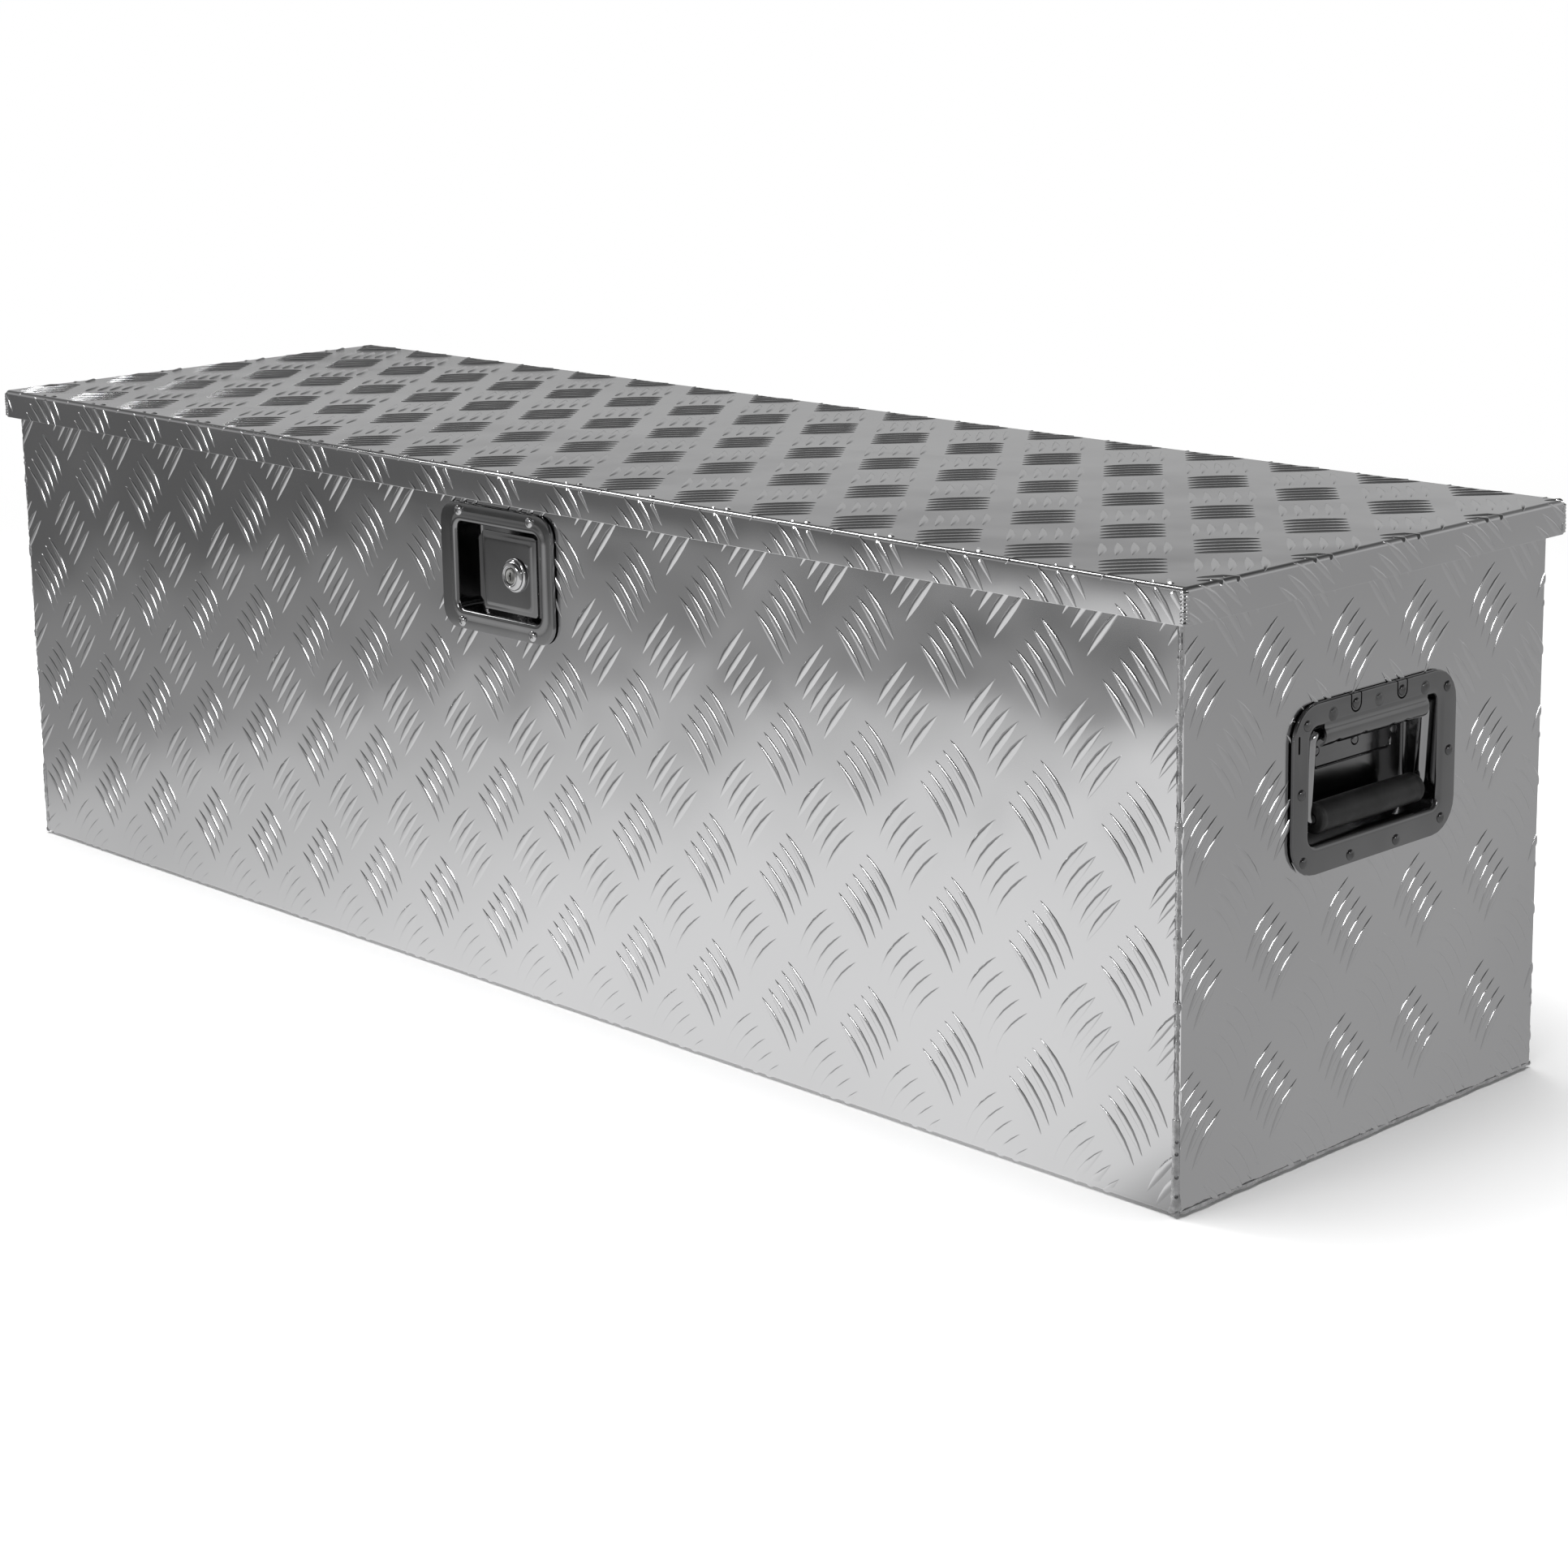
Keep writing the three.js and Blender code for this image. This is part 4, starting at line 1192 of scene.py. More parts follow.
def hinge_leaf(node, up, rivet_out):
    """A leaf with every other knuckle of the row, and its row of rivets."""
    low, high = span(node)
    y0 = BOX_Y + LEAF_GAP if node == "hinge_leaf_box" else LID_HIGH[1] - 2.4 - LEAF_GAP - LEAF_THICK
    z_near = HINGE[1] + up * (KNUCKLE_R + 0.4)
    z_far = low[2] if up < 0 else high[2]
    a, b = sorted((z_near, z_far))
    leaf = Shape()
    slab(leaf, on_front, (-hinge_end, a), (hinge_end, b), 0.6, y0, y0 + LEAF_THICK, 0.25)
    pitch = 2 * hinge_end / KNUCKLES
    for i in range(0 if up < 0 else 1, KNUCKLES, 2):
        x0 = -hinge_end + i * pitch + 0.25
        x1 = x0 + pitch - 0.5
        ring = [(PIN_R + 0.2, 0), (KNUCKLE_R - 0.3, 0), (KNUCKLE_R, 0.3)]
        ring += [(KNUCKLE_R, x1 - x0 - 0.3), (KNUCKLE_R - 0.3, x1 - x0), (PIN_R + 0.2, x1 - x0)]
        turned(leaf, ring, (x0, *HINGE), (1, 0, 0), 20, closed=True)
        c, d = sorted((z_near + up * 0.4, HINGE[1] + up * 1.2))
        slab(leaf, on_front, (x0, c), (x1, d), 0.3, y0, y0 + LEAF_THICK, 0.1, arc=1)
    z = HINGE[1] + up * (abs(z_far - HINGE[1]) * 0.62)
    y = y0 + LEAF_THICK if rivet_out > 0 else y0
    for i in range(LEAF_RIVETS):
        x = -hinge_end + 2 * hinge_end * (i + 0.5) / LEAF_RIVETS
        dome(leaf, (x, y, z), (0, rivet_out, 0), 3.0, 1.1)
    return leaf


for side, up, rivet_out in (("box", -1, 1), ("lid", 1, -1)):
    node = f"hinge_leaf_{side}"
    piece(f"hinge_{side}_side", hinge_leaf(node, up, rivet_out), [POLISHED], side, [node])
pin = Shape()
pin_run = 2 * hinge_end
turned(pin, pin_profile(PIN_R, pin_run), (-hinge_end, *HINGE), (1, 0, 0), 20)
piece("hinge_pin_bar", pin, [ZINC], "box", ["hinge_pin"])


# ---- The paddle latch --------------------------------------------------------------------------------
flange_back = -BOX_Y - 1.3
flange_front = flange_back - 1.8
flange_rim = -BOX_Y - 0.2  # the flange's turned-down edge, which hides the gasket
dish_floor = -BOX_Y + 19.0
flange_box = ((lock_low[0], lock_low[2]), (lock_high[0], lock_high[2]))
FLANGE_CORNER = 15.0


def flange_loop(inset, y):
    (x0, z_0), (x1, z_1) = flange_box
    outline = rounded((x0 + inset, z_0 + inset), (x1 - inset, z_1 - inset), FLANGE_CORNER - inset)
    return on_front(outline, y)


def dish_loop(grow, y):
    (x0, z_0), (x1, z_1) = dish["low"], dish["high"]
    outline = rounded((x0 - grow, z_0 - grow), (x1 + grow, z_1 + grow), max(6 + grow, 1.5))
    return on_front(outline, y)


# From the back of the dish, out along the back of the flange, round its edge, over the bead and in.
lock_loops = [dish_loop(g, y) for g, y in ((-6, 1.5), (-1, 1.5), (0.9, 0.9), (1.5, -0.6))]
for loop in lock_loops:
    loop[:, 1] += dish_floor
lock_loops += [dish_loop(1.5, flange_back + 1.2), dish_loop(2.6, flange_back)]
lock_loops += [flange_loop(1.0, flange_back), flange_loop(0.5, flange_back + 0.2)]
lock_loops += [flange_loop(0.45, flange_rim), flange_loop(0, flange_rim)]
lock_loops += [flange_loop(0.0, flange_front + 0.9), flange_loop(0.35, flange_front + 0.25)]
lock_loops += [flange_loop(1.2, flange_front)]
# The raised bead round the dish: how far out from its edge, and how deep.
BEAD = [(8.2, 0), (7.0, -0.12), (5.9, -0.55), (4.8, -1.1), (3.7, -1.45)]
BEAD += [(2.7, -1.5), (1.7, -1.25), (0.9, -0.6), (0.3, 0.4), (0, 1.6)]
lock_loops += [dish_loop(g, flange_front + d) for g, d in BEAD]
lock_loops += [dish_loop(0, dish_floor - 3.2), dish_loop(-0.5, dish_floor - 1.5)]
lock_loops += [dish_loop(-1.6, dish_floor - 0.4), dish_loop(-3.4, dish_floor)]
ARM_SLOT = ((36, 298), (54.5, 312))
arm_slot = loft(
    Shape(),
    [on_front(rounded(*ARM_SLOT, 1.5), y) for y in (dish_floor - 2, dish_floor + 4)],
)
screw_spots = [(span(f"lock_screw_{i}")[0] + span(f"lock_screw_{i}")[1]) / 2 for i in range(1, 5)]
plate = carved(loft(Shape(), lock_loops), arm_slot)
piece("lock_dish", plate, [PRESSED], "box", ["lock_plate"], crease=40)

SCREW_R = 3.9
SHANK_R = 1.9
for i, spot in enumerate(screw_spots, 1):
    at = np.array([spot[0], flange_front - 0.02, spot[2]])
    turn = np.radians(np.linspace(0, 88, 8))
    crown = [(SCREW_R * math.cos(t), 0.35 + 1.9 * math.sin(t)) for t in turn]
    shank_end = span(f"lock_screw_{i}")[1][1] - at[1]
    profile = [(0, -shank_end), (SHANK_R - 0.3, -shank_end), (SHANK_R, -shank_end + 0.6)]
    profile += [(SHANK_R, 0), (SCREW_R, 0), *crown, (0, 2.25)]
    body = turned(Shape(), profile, at, (0, -1, 0))
    cross = []
    for angle in (0.4 * i, 0.4 * i + math.pi / 2):
        c, s = math.cos(angle), math.sin(angle)
        bar = rounded((-2.1, -0.42), (2.1, 0.42), 0.3, 2)
        bar = np.stack([bar[:, 0] * c - bar[:, 1] * s, bar[:, 0] * s + bar[:, 1] * c], 1)
        bar += (at[0], at[2])
        cross.append(loft(Shape(), [on_front(bar, at[1] - d) for d in (4, 1.0)]))
    body = carved(body, *cross)
    piece(f"lock_screw_head_{i}", body, [POLISHED], "box", [f"lock_screw_{i}"], crease=40)

# The paddle: a raised panel on a flat plate, a lip set back for the fingers, and a rolled edge on its pin.
paddle_low, paddle_high = span("paddle")
pivot_low, pivot_high = span("paddle_pin")
PIVOT = (pivot_low + pivot_high) / 2
panel_front = -BOX_Y - 1.2
panel_back = panel_front + 1.7
pz0, pz1 = paddle_low[2], paddle_high[2]
lip_x = paddle_low[0]
key_low, key_high = span("key_housing")
KEY = (key_low + key_high) / 2
BARREL_R = 8.9  # the hole in the paddle for the key's housing
barrel = turned(
    Shape(),
    [(0, -6), (BARREL_R, -6), (BARREL_R, 6), (0, 6)],
    (KEY[0], panel_front, KEY[2]),
    (0, -1, 0),
    48,
)
PANEL_LEFT = -9
PANEL_RIGHT = 49.4
panel = slab(
    Shape(), on_front, (PANEL_LEFT, pz0), (PANEL_RIGHT, pz1), 3, panel_back, panel_front + 0.5, 0.5
)
FIELD = [(4.2, 0.9), (4.2, 0.5), (4.9, 0.2), (6.2, -0.15), (7.0, -0.2)]
field = loft(
    Shape(),
    [
        on_front(
            rounded((PANEL_LEFT + g - 2, pz0 + g - 1.2), (PANEL_RIGHT - g, pz1 - g + 1.2), 3.5),
            panel_front + d,
        )
        for g, d in FIELD
    ],
)
paddle = Shape().merge(carved(panel, barrel)).merge(carved(field, barrel))
web = eased([(-8.2, panel_front + 1.2), (-8.8, panel_back + 2.6), (lip_x, panel_back + 2.6)], 1.6, 5)
inner_web = eased(
    [(-6.8, panel_front + 1.2), (-7.4, panel_back + 4.0), (lip_x, panel_back + 4.0)], 2.2, 5
)
section = np.concatenate([web, inner_web[::-1]])
corner = 5.0
lip_rows = []
for z in (pz0 + 3.2, pz0 + 3.5, pz1 - 3.5, pz1 - 3.2):
    lip_rows.append(np.stack([section[:, 0], section[:, 1], np.full(len(section), z)], 1))
edge_cut = []
for z, way in ((pz0 + 3, -1), (pz1 - 3, 1)):
    wedge = np.array(
        [(lip_x - 1, z - way * corner), (lip_x + corner, z + way * 0.5), (lip_x - 1, z + way * 2)]
    )
    edge_cut.append(loft(Shape(), [on_front(wedge, y) for y in (panel_back, panel_back + 6)]))
lip = carved(loft(Shape(), lip_rows), *edge_cut)
paddle.merge(lip)
ROLL_R = 4.3
PADDLE_PIN_R = 1.8
run = pz1 - pz0
ROLL_BORE = 2.1
roll = [(ROLL_BORE, 0), (ROLL_R - 0.6, 0), (ROLL_R, 0.6)]
roll += [(ROLL_R, run - 0.6), (ROLL_R - 0.6, run), (ROLL_BORE, run)]
roll_body = turned(Shape(), roll, (PIVOT[0], PIVOT[1], pz0), (0, 0, 1), 32, closed=True)
paddle.merge(roll_body)
arm_y = paddle_high[1]
slab(paddle, on_front, (49.6, 300.2), (52.4, 309.8), 0.8, PIVOT[1] + 3.4, arm_y, 0.4)
piece("latch_paddle", paddle, [PRESSED], "paddle", ["paddle"], crease=40)
pin = Shape()
length = pivot_high[2] - pivot_low[2]
turned(pin, pin_profile(PADDLE_PIN_R, length), (PIVOT[0], PIVOT[1], pivot_low[2]), (0, 0, 1), 24)
piece("paddle_pin_bar", pin, [POLISHED], "box", ["paddle_pin"])

# The key cylinder stands out of the paddle: a stepped, domed bezel round the turning plug.
key_front = panel_front - 0.3
tail = 15.5
bezel = [(5.8, -tail), (8.5, -tail), (8.5, 0), (11.6, 0), (12, 0.3), (12, 1.2)]
bezel += [(11.7, 1.7), (10.9, 2.0), (10.5, 2.4)]
turn = np.radians(np.linspace(8, 78, 8))
bezel += [(7.2 + 3.4 * math.cos(t), 2.2 + 3.3 * math.sin(t)) for t in turn]
bezel += [(7.5, 5.5), (7.2, 5.2), (6.6, 5.1), (6.2, 5.4), (5.8, 5.1)]
housing = turned(Shape(), bezel, (KEY[0], key_front, KEY[2]), (0, -1, 0), 56, closed=True)
piece("key_bezel", housing, [POLISHED], "paddle", ["key_housing"])
plug_low, plug_high = span("key_plug")
plug_run = plug_high[1] - plug_low[1]
profile = [(0, 0), (5.1, 0), (5.5, 0.4), (5.5, plug_run - 0.5), (5.2, plug_run - 0.1)]
profile += [(4.4, plug_run), (3.9, plug_run - 0.3), (0, plug_run - 0.3)]
plug = turned(Shape(), profile, (KEY[0], plug_high[1], KEY[2]), (0, -1, 0), 48)


def key_slot(left, below, right, above, radius):
    """A slot in the plug's face, by its reach from the plug's middle."""
    outline = rounded((KEY[0] - left, KEY[2] - below), (KEY[0] + right, KEY[2] + above), radius, 3)
    return loft(Shape(), [on_front(outline, plug_low[1] + d) for d in (-2, 7)])


keyway = key_slot(0.6, 3.1, 0.6, 2.5, 0.3)
ward = key_slot(1.5, 0.5, 0.2, 0.6, 0.2)
piece("key_plug_barrel", carved(plug, keyway, ward), [ZINC], "key", ["key_plug"])

# The coil round the paddle's pin has its lower end on the box and its upper end on the paddle. It rides
# on no body, with its place baked into its mesh.
spring_low, spring_high = span("paddle_spring")
COIL_INSET = 0.5
spring_start = (PIVOT[0], PIVOT[1], spring_low[2] + COIL_INSET)
spring_run = spring_high[2] - spring_low[2] - 2 * COIL_INSET
spring = coil(Shape(), spring_start, (0, 0, 1), 3.1, 0.45, spring_run, 6)
wound = piece("paddle_coil", spring, [ZINC], None, ["paddle_spring"])
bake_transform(wound)

# The bolt's coil rides on the box, with a mesh of its own.
spring_low, spring_high = span("latch_spring")
mid = (spring_low + spring_high) / 2
spring_start = (spring_low[0] + COIL_INSET, mid[1], mid[2])
spring_run = spring_high[0] - spring_low[0] - 2 * COIL_INSET
spring = coil(Shape(), spring_start, (1, 0, 0), 3.9, 0.5, spring_run, 9)
pressed_coil = piece("latch_coil", spring, [ZINC], "box", ["latch_spring"])
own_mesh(pressed_coil)


# ---- The carrying handles ----------------------------------------------------------------------------
# Built for the right end, and turned half way round for the left.
plate_back = BOX_X + 1.2
plate_front = plate_back + 1.5
plate_rim = BOX_X + 0.2
handle_floor = BOX_X - 24.5
PLATE_BOX = ((plate_low[1], plate_low[2]), (plate_high[1], plate_high[2]))
PLATE_CORNER = 22.0
BAR = {
    "x": BOX_X - 3.5,
    "z": 266.0,
    "low_x": BOX_X - 6.4,
    "low_z": 213.5,
    "y0": -57.9,
    "y1": 55.9,
    "r": 3.6,
}
RIVETS = [
    (-71, 192),
    (-25, 187.5),
    (21, 187.5),
    (67, 192),
    (-74, 234),
    (74, 234),
    (-69, 275),
    (71, 275),
    (-22, 280.6),
    (24, 280.6),
]
TOP_RIVETS = RIVETS[-2:]
NOTCH = (5.4, 4.3)  # radii of the cut that runs round each of the top two rivets
DIMPLES = [(-44.5, 278.0), (1.0, 279.0), (47.5, 278.0)]
BRACKET_RIVET_Y = (-27.0, 12.0, 51.0)
BRACKET_RIVET_Z = 247.6
RIVET_R = 3.5
RIVET_HIGH = 1.7
RIB = ((-27, 236.5), (50, 244))
LIP_R = 7.9
LIP_SHEET = 1.4
LIP_TOP = 274.6
LIP_FROM = 38  # the lip's turn round the bar, in degrees up from straight out
LIP_TO = -66
NICKS = (-38.0, -12.0, 16.0, 30.0)
GRIP_R = 9.5
GRIP_END_R = 2.2


def window_loop(grow, x):
    (a0, b0), (a1, b1) = WINDOW
    outline = rounded((a0 - grow, b0 - grow), (a1 + grow, b1 + grow), max(7 + grow, 1.5))
    return on_end(outline, x)


def plate_loop(inset, x):
    (a0, b0), (a1, b1) = PLATE_BOX
    outline = rounded((a0 + inset, b0 + inset), (a1 - inset, b1 - inset), PLATE_CORNER - inset)
    return on_end(outline, x)


def handle_plate():
    """Flange and drawn dish in one pressing, from the dish's back, round the flange's edge, and in."""
    back_rows = [(-6, -1.5), (-1, -1.5), (0.9, -0.9), (1.5, 0.6)]
    loops = [window_loop(g, handle_floor + d) for g, d in back_rows]
    loops += [window_loop(1.5, plate_back - 1.2), window_loop(2.6, plate_back)]
    loops += [plate_loop(1.1, plate_back), plate_loop(0.65, plate_back - 0.2)]
    loops += [plate_loop(0.6, plate_rim), plate_loop(0, plate_rim)]
    loops += [plate_loop(0.05, plate_front - 0.8), plate_loop(0.45, plate_front - 0.22)]
    loops += [plate_loop(1.3, plate_front)]
    edge = [(4.6, 0), (3.4, 0.02), (2.2, -0.25), (1.1, -0.95), (0.35, -2.0), (0, -3.4)]
    loops += [window_loop(g, plate_front + d) for g, d in edge]
    loops += [window_loop(0, handle_floor + 4), window_loop(-0.5, handle_floor + 1.9)]
    loops += [window_loop(-1.7, handle_floor + 0.5), window_loop(-4, handle_floor)]
    pressing = loft(Shape(), loops)
    cutters = []
    for y, z in TOP_RIVETS:
        turn = np.radians(np.linspace(180, 360, 17))
        top = PLATE_BOX[1][1] + 2
        wide, narrow = NOTCH
        outer = [(y + wide * math.cos(t), z + wide * math.sin(t)) for t in turn]
        inner = [(y + narrow * math.cos(t), z + narrow * math.sin(t)) for t in turn[::-1]]
        slot = np.array(
            [(y - wide, top), *outer, (y + wide, top), (y + narrow, top), *inner, (y - narrow, top)]
        )
        cutters.append(loft(Shape(), [on_end(slot, x) for x in (plate_back - 0.8, plate_front + 2)]))
    nick = rounded((-77.6, 259), (-75.9, 270), 0.8, 3)
    cutters.append(loft(Shape(), [on_end(nick, x) for x in (plate_back - 0.8, plate_front + 2)]))
    return carved(pressing, *cutters)


def rolled_lip():
    """The flange's top runs down over the bar as a rolled lip, with four small nicks pressed in it."""
    y0, y1 = BAR["y0"] + 5.5, BAR["y1"] - 5.5
    inside = LIP_R - LIP_SHEET
    front = [(plate_front - 0.1, LIP_TOP), (plate_front + 0.12, 273.4)]
    for angle in np.radians(np.linspace(LIP_FROM, LIP_TO, 14)):
        front.append((BAR["x"] + LIP_R * math.cos(angle), BAR["z"] + LIP_R * math.sin(angle)))
    back = []
    for angle in np.radians(np.linspace(LIP_TO, LIP_FROM, 14)):
        back.append((BAR["x"] + inside * math.cos(angle), BAR["z"] + inside * math.sin(angle)))
    back.append((plate_back + 0.2, LIP_TOP))
    section = np.array(front + back)
    rows = []
    stations = np.linspace(y0, y1, 70)
    for y in stations:
        near = min(abs(y - y0), abs(y1 - y))
        shrink = 1 - 0.05 * math.exp(-((near / 1.2) ** 2))
        dent = sum(0.55 * math.exp(-(((y - at) / 2.2) ** 2)) for at in NICKS)
        xs = BAR["x"] + (section[:, 0] - BAR["x"]) * shrink
        low = np.clip((BAR["z"] - 2 - section[:, 1]) / 5, 0, 1)
        zs = section[:, 1] + dent * low
        rows.append(np.stack([xs - dent * 0.4 * low, np.full(len(section), y), zs], 1))
    return loft(Shape(), rows)


def slot_rib():
    """A long rounded rib pressed out of the back of the dish."""
    (a0, b0), (a1, b1) = RIB
    loops = []
    for grow, rise in ((0.9, -0.2), (0.55, 0.5), (0, 0.8), (-0.55, 0.5), (-0.9, -0.2)):
        outline = rounded((a0 - grow, b0 - grow), (a1 + grow, b1 + grow), 3.4 + grow, 8)
        loops.append(on_end(outline, handle_floor + 0.3 + rise))
    return loft(Shape(), loops, closed=True)


def bail_path():
    """The bar's loop: two ends in the rolled lip, two legs and the bottom bar under the grip."""
    lean = (BAR["x"] - BAR["low_x"]) / (BAR["z"] - BAR["low_z"])
    corners = [
        (BAR["x"], -14.0, BAR["z"]),
        (BAR["x"], BAR["y0"], BAR["z"]),
        (BAR["low_x"], BAR["y0"], BAR["low_z"]),
        (BAR["low_x"], BAR["y1"], BAR["low_z"]),
        (BAR["x"], BAR["y1"], BAR["z"]),
        (BAR["x"], 14.0, BAR["z"]),
    ]
    return eased(corners, 6.5, 10)


def grip_form():
    """A moulded rubber sleeve, a little fuller in the middle, with a rounded lip at each end."""
    y0, y1 = BAR["y0"] + 5.6, BAR["y1"] - 5.6
    run = y1 - y0
    bore = BAR["r"] + 0.25
    flat_r = GRIP_R - GRIP_END_R
    turn = np.radians(np.linspace(-90, 0, 6))
    curve = [(flat_r + GRIP_END_R * math.cos(t), GRIP_END_R + GRIP_END_R * math.sin(t)) for t in turn]
    profile = [(bore, 0), (flat_r, 0), *curve[1:]]
    profile += [(GRIP_R - 0.35, 4.2), (GRIP_R - 0.45, 5.0), (GRIP_R - 0.3, 6.0)]
    for t in np.linspace(0.1, 0.9, 9):
        profile.append((GRIP_R - 0.3 + 0.28 * math.sin(math.pi * t), 6 + (run - 12) * t))
    profile += [(GRIP_R - 0.3, run - 6), (GRIP_R - 0.45, run - 5.0), (GRIP_R - 0.35, run - 4.2)]
    profile += [(r, run - along) for r, along in reversed(curve)]
    profile += [(bore, run)]
    return turned(Shape(), profile, (BAR["low_x"], y0, BAR["low_z"]), (0, 1, 0), 48, closed=True)


def bracket_form():
    """The bracket behind the bar: a strip on the dish's back, bent out under the rolled lip."""
    low, high = span("handle_bracket_right")
    x = handle_floor + 0.3
    top = high[2]
    path = eased([(x + 1.2, low[2]), (x + 1.2, top - 1.2), (high[0], top - 1.2)], 1.6, 5)
    back = eased([(x, low[2]), (x, top), (high[0], top)], 2.6, 5)
    section = np.concatenate([path, back[::-1]])
    strip = loft(Shape(), [across(section, y) for y in (low[1], high[1])])
    for y in BRACKET_RIVET_Y:
        dome(strip, (x + 1.2, y, BRACKET_RIVET_Z), (1, 0, 0), 3.4, 1.5)
    return strip


def handle_set(side):
    """All pieces of one handle, in their place."""
    place = None if side == "right" else half_turn
    plate_form = handle_plate()
    plate_form.merge(rolled_lip())
    plate_form.merge(slot_rib())
    # Rivets and dimples take tone 1, the darker rivet finish: painted shade on each dome.
    for y, z in RIVETS:
        dome(plate_form, (plate_front, y, z), (1, 0, 0), RIVET_R, RIVET_HIGH, tone=1)
    for y, z in DIMPLES:
        turn = np.radians(np.linspace(0, 90, 6))
        swell = [(3.6 * math.cos(t), 0.2 + 0.75 * math.sin(t)) for t in turn]
        head = [(0, -0.2), (4.6, -0.2), (4.4, 0.05), *swell]
        turned(plate_form, head, (plate_front, y, z), (1, 0, 0), 28, tone=1)
    bar = tube(Shape(), bail_path(), BAR["r"], 20)
    spring_form = coil(Shape(), (BAR["x"], -46, BAR["z"]), (0, 1, 0), 5.2, 0.5, 10, 5)
    made = [
        ("handle_pressing", plate_form, [PRESSED, RIVET_PAINTED_SHADE], "box", "stainless", "handle_plate"),
        ("handle_back_strip", bracket_form(), [PRESSED], "box", "stainless", "handle_bracket"),
        ("handle_bar", bar, [POLISHED], f"bail_{side}", "stainless", "handle_bail"),
        ("handle_sleeve", grip_form(), [RUBBER], f"bail_{side}", "rubber", "handle_grip"),
        ("handle_coil", spring_form, [ZINC], "box", "zinc", "handle_spring"),
    ]
    for name, form, finishes, body, slot, node in made:
        placed = Shape().merge(form, place)
        piece(f"{name}_{side}", placed, finishes, body, [f"{node}_{side}"], crease=38)


for side in ("left", "right"):
    handle_set(side)


# ---- Gas struts --------------------------------------------------------------------------------------
TUBE_R = 8.0
ROD_R = 4.0
BORE_R = 6.4
GLAND_R = ROD_R + 0.25
GLAND_LONG = 5.0
BORE_FLOOR = 50.0
ROD_START = 55.0
ROD_EYE_R = 6.0
ROD_EYE_HALF = 6.5


def strut_axis(side):
    """The strut's lower stud, and the direction up it, from the frame's own slide joint."""
    swing = next(j for j in frame["joints"] if j["name"] == f"strut_{side}_swing")
    slide = next(j for j in frame["joints"] if j["name"] == f"strut_{side}_extend")
    return np.array(swing["pos_m"]) / MM, np.array(slide["axis"])


for side in ("left", "right"):
    foot, way = strut_axis(side)
    _, rod_high = span(f"strut_rod_{side}")
    _, tube_high = span(f"strut_tube_{side}")
    top = (tube_high[2] - foot[2] - TUBE_R * math.hypot(way[0], way[1])) / way[2]
    # The cylinder is hollow above its floor, and the rod runs out through the gland at its top.
    profile = [(0, 11), (TUBE_R - 1, 11), (TUBE_R, 12.2), (TUBE_R, 15)]
    profile += [(TUBE_R - 0.5, 15.6), (TUBE_R, 16.4), (TUBE_R, top - 4)]
    profile += [(TUBE_R - 0.4, top - 2.2), (TUBE_R - 2, top - 0.6), (TUBE_R - 3, top)]
    profile += [(GLAND_R, top), (GLAND_R, top - GLAND_LONG), (BORE_R, top - GLAND_LONG - 0.6)]
    profile += [(BORE_R, BORE_FLOOR), (0, BORE_FLOOR)]
    tube_form = turned(Shape(), profile, foot, way, 40)
    # The eye is cut on its own, and then set on the cylinder's foot.
    eye = [(0, -8), (4.6, -8), (6.2, -6.6), (6.4, 5), (5.6, 8.5), (4.2, 11.4), (0, 11.4)]
    sign = 1 if side == "right" else -1
    seat = turned(
        Shape(),
        [(0, 0), (5.2, 0), (5.2, 20), (0, 20)],
        foot - np.array([sign * 5.2, 0, 0]),
        (sign, 0, 0),
        28,
    )
    tube_form.merge(carved(turned(Shape(), eye, foot, way, 32), seat))
    tube_node = f"strut_tube_{side}"
    piece(f"strut_cylinder_{side}", tube_form, [ENAMEL], tube_node, [tube_node])
    rod_form = Shape()
    reach = (rod_high[2] - foot[2] - ROD_EYE_HALF * abs(way[1])) / way[2] - 8
    profile = [(0, ROD_START), (ROD_R - 0.4, ROD_START), (ROD_R, ROD_START + 0.4)]
    profile += [(ROD_R, reach - 12), (0, reach - 12)]
    turned(rod_form, profile, foot, way, 32)
    turned(
        rod_form,
        [
            (0, reach - 13),
            (4.6, reach - 13),
            (ROD_EYE_R - 0.1, reach - 11.6),
            (ROD_EYE_R, reach + 5),
            (ROD_EYE_R - 1.2, reach + 7.6),
            (0, reach + 7.6),
        ],
        foot,
        way,
        32,
        tone=1,
    )
    rod_node = f"strut_rod_{side}"
    piece(f"strut_rod_bar_{side}", rod_form, [POLISHED, ZINC], rod_node, [rod_node])


# ---- Floor, light and camera -------------------------------------------------------------------------
scene = bpy.context.scene


def flat(name, low, high, z):
    mesh = bpy.data.meshes.new(name)
    corners = [(low[0], low[1], z), (high[0], low[1], z), (high[0], high[1], z), (low[0], high[1], z)]
    mesh.from_pydata(corners, [], [(0, 1, 2, 3)])
    made = bpy.data.objects.new(name, mesh)
    scene.collection.objects.link(made)
    made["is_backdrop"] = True
    return made


# Greys that the metal reflects: (position, grey). Over the floor a position runs along FLOOR_WAY, and
# round the room it runs from straight down to straight up.
FLOOR_WAY = (1.0, 0.05, 0.0)
FLOOR_TONES = [(0.0, 0.11), (0.2, 0.25), (0.28, 0.29), (0.35, 0.56)]
FLOOR_TONES += [(0.5, 0.76), (0.63, 0.76), (0.65, 0.35), (1.0, 0.3)]
SKY_TONES = [(0.0, 0.3), (0.5, 0.4), (0.62, 0.44), (0.73, 0.18)]
SKY_TONES += [(0.84, 0.05), (0.95, 0.08), (1.0, 0.15)]
WALL_WAY = (0.0, 1.0, 0.0)
WALL_TONES = [(0.0, 0.7), (0.5, 0.7), (0.8, 1.0), (1.0, 1.0)]

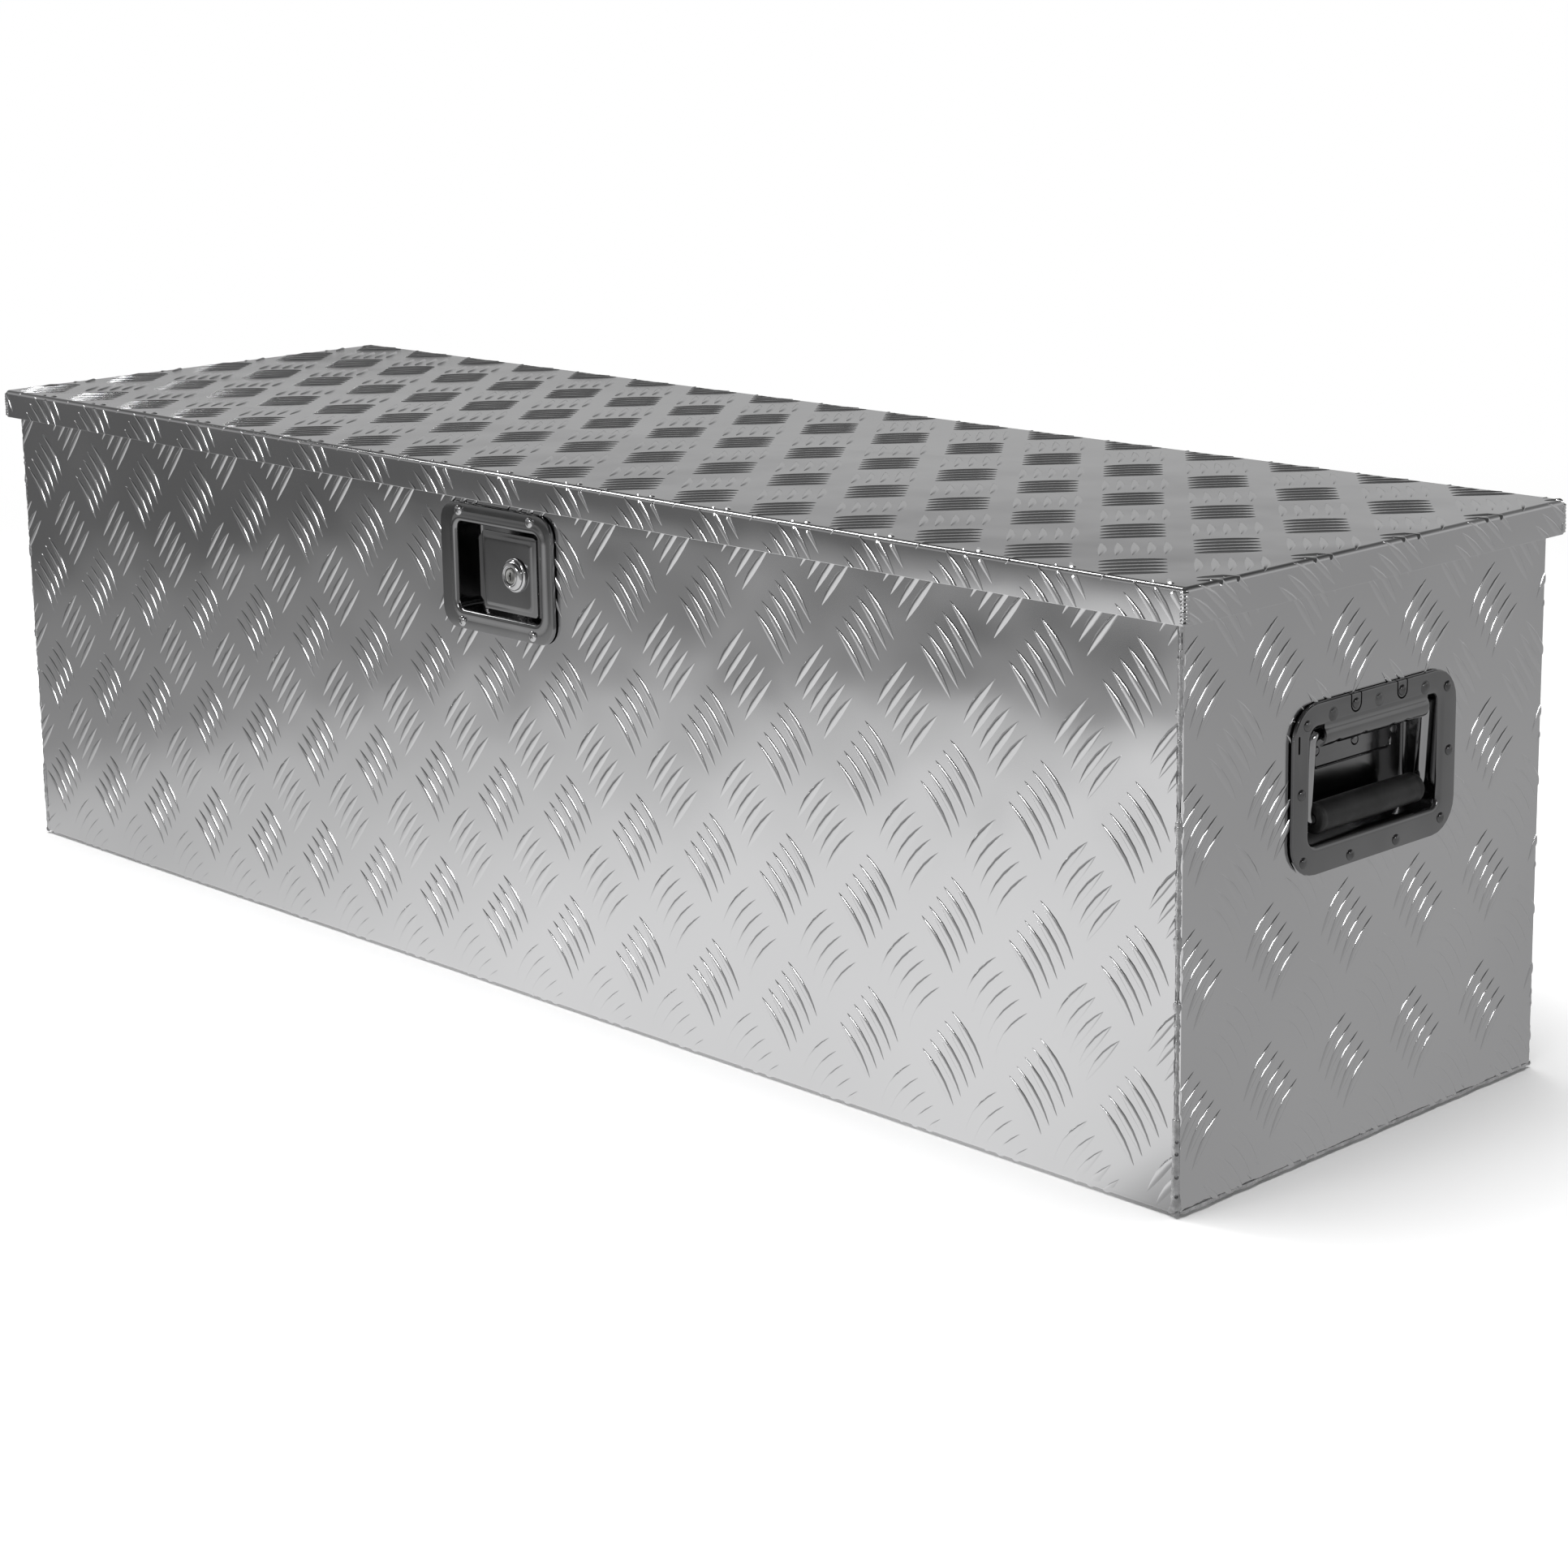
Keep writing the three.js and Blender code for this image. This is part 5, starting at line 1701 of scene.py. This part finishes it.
# Lamps: name, place, what it faces, width, height, watts, and whether reflections see it.
LAMPS = [
    ("overhead", (0.0, -0.2, 3.4), (0, 0, 0.2), 3.4, 3.4, 190, False),
    ("front_box", (-0.1, -2.8, 1.35), (0, 0, 0.2), 0.8, 0.26, 10, True),
    ("right_box", (2.9, -0.2, 1.4), (0, 0, 0.2), 0.7, 0.16, 4, True),
    ("left_strip", (-1.4, -0.68, 2.2), (0, 0, 0.2), 0.35, 1.6, 12, True),
]

floor = flat("floor", (-14, -14), (14, 14), -0.0008)


def ramp(tree, value, stops):
    """A smooth grey ramp over a value: stops are (position, grey)."""
    made = tree.nodes.new("ShaderNodeValToRGB")
    made.color_ramp.interpolation = "EASE"
    elements = made.color_ramp.elements
    for i, (position, tone) in enumerate(stops):
        element = elements[i] if i < 2 else elements.new(position)
        element.position = position
        element.color = (tone, tone, tone, 1)
    tree.links.new(value, made.inputs["Fac"])
    return made.outputs["Color"]


def scaled_dot(tree, vector, direction, scale, offset):
    """scale * (vector . direction) + offset."""
    dot = tree.nodes.new("ShaderNodeVectorMath")
    dot.operation = "DOT_PRODUCT"
    dot.inputs[1].default_value = direction
    tree.links.new(vector, dot.inputs[0])
    made = tree.nodes.new("ShaderNodeMath")
    made.operation = "MULTIPLY_ADD"
    made.inputs[1].default_value = scale
    made.inputs[2].default_value = offset
    tree.links.new(dot.outputs["Value"], made.inputs[0])
    return made.outputs[0]


# A pale paper floor. Reflections see it fall off into the dark of the room to the left of the object.
paper = bpy.data.materials.new("floor_paper")
paper.use_nodes = True
tree = paper.node_tree
tree.nodes.clear()
result = tree.nodes.new("ShaderNodeOutputMaterial")
lit = tree.nodes.new("ShaderNodeBsdfDiffuse")
lit.inputs["Color"].default_value = (0.93, 0.93, 0.93, 1)
glow = tree.nodes.new("ShaderNodeEmission")
place = tree.nodes.new("ShaderNodeTexCoord")
left_to_right = scaled_dot(tree, place.outputs["Object"], FLOOR_WAY, 0.25, 0.5)
tree.links.new(ramp(tree, left_to_right, FLOOR_TONES), glow.inputs["Color"])
far = tree.nodes.new("ShaderNodeEmission")
far.inputs["Color"].default_value = (1, 1, 1, 1)
length = tree.nodes.new("ShaderNodeVectorMath")
length.operation = "LENGTH"
tree.links.new(place.outputs["Object"], length.inputs[0])
fading = tree.nodes.new("ShaderNodeMapRange")
fading.interpolation_type = "SMOOTHSTEP"
fading.inputs["From Min"].default_value = 0.7
fading.inputs["From Max"].default_value = 2.4
tree.links.new(length.outputs["Value"], fading.inputs["Value"])
seen = tree.nodes.new("ShaderNodeMixShader")
tree.links.new(fading.outputs["Result"], seen.inputs["Fac"])
tree.links.new(lit.outputs[0], seen.inputs[1])
tree.links.new(far.outputs[0], seen.inputs[2])
rays = tree.nodes.new("ShaderNodeLightPath")
pick = tree.nodes.new("ShaderNodeMixShader")
tree.links.new(rays.outputs["Is Glossy Ray"], pick.inputs["Fac"])
tree.links.new(seen.outputs[0], pick.inputs[1])
tree.links.new(glow.outputs[0], pick.inputs[2])
tree.links.new(pick.outputs[0], result.inputs["Surface"])
floor.data.materials.append(paper)


def soft_light(name, at, aim, width, height, power, mirrored):
    data = bpy.data.lights.new(name, "AREA")
    data.shape = "RECTANGLE"
    data.size = width
    data.size_y = height
    data.energy = power
    lamp = bpy.data.objects.new(name, data)
    scene.collection.objects.link(lamp)
    lamp.location = at
    lamp.rotation_mode = "QUATERNION"
    lamp.rotation_quaternion = (Vector(aim) - Vector(at)).to_track_quat("-Z", "Y")
    lamp.visible_glossy = mirrored
    lamp.visible_camera = False
    return lamp


for lamp in LAMPS:
    soft_light(*lamp)

# The room: white to the camera, and to reflections a grey studio with its own bright and dark walls.
world = bpy.data.worlds.new("studio")
world.use_nodes = True
scene.world = world
tree = world.node_tree
tree.nodes.clear()
result = tree.nodes.new("ShaderNodeOutputWorld")
place = tree.nodes.new("ShaderNodeTexCoord")
seen = tree.nodes.new("ShaderNodeBackground")
seen.inputs["Color"].default_value = (1, 1, 1, 1)
seen.inputs["Strength"].default_value = 1.0
upward = ramp(tree, scaled_dot(tree, place.outputs["Generated"], (0, 0, 1), 0.5, 0.5), SKY_TONES)
around = ramp(tree, scaled_dot(tree, place.outputs["Generated"], WALL_WAY, 0.5, 0.5), WALL_TONES)
blend = tree.nodes.new("ShaderNodeMix")
blend.data_type = "RGBA"
blend.blend_type = "MULTIPLY"
blend.inputs["Factor"].default_value = 1.0
tree.links.new(upward, blend.inputs["A"])
tree.links.new(around, blend.inputs["B"])
mirrored = tree.nodes.new("ShaderNodeBackground")
tree.links.new(blend.outputs["Result"], mirrored.inputs["Color"])
rays = tree.nodes.new("ShaderNodeLightPath")
pick = tree.nodes.new("ShaderNodeMixShader")
tree.links.new(rays.outputs["Is Camera Ray"], pick.inputs["Fac"])
tree.links.new(mirrored.outputs[0], pick.inputs[1])
tree.links.new(seen.outputs[0], pick.inputs[2])
tree.links.new(pick.outputs[0], result.inputs["Surface"])

CAMERA_AZIMUTH = math.radians(46.76)
CAMERA_HEIGHT = math.radians(12.16)
CAMERA_ROLL = math.radians(-1.07)
CAMERA_DISTANCE = 2.3807
CAMERA_TARGET = Vector((0.0726, 0.0, 0.2413))
back = Vector(
    (
        math.sin(CAMERA_AZIMUTH) * math.cos(CAMERA_HEIGHT),
        -math.cos(CAMERA_AZIMUTH) * math.cos(CAMERA_HEIGHT),
        math.sin(CAMERA_HEIGHT),
    )
)
right = (-back).cross(Vector((0, 0, 1))).normalized()
above = right.cross(-back)
c, s = math.cos(CAMERA_ROLL), math.sin(CAMERA_ROLL)
axes = (right * c + above * s, above * c - right * s, back)
lens = bpy.data.cameras.new("camera")
lens.sensor_width = 36
lens.lens = 76.04
lens.shift_x = 0.01863
lens.shift_y = -0.09627
camera = bpy.data.objects.new("camera", lens)
scene.collection.objects.link(camera)
turn = Matrix.Identity(4)
for column, axis in enumerate(axes):
    for row in range(3):
        turn[row][column] = axis[row]
turn.translation = CAMERA_TARGET + back * CAMERA_DISTANCE
camera.matrix_world = turn
scene.camera = camera
scene.view_settings.view_transform = "Standard"

low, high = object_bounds()
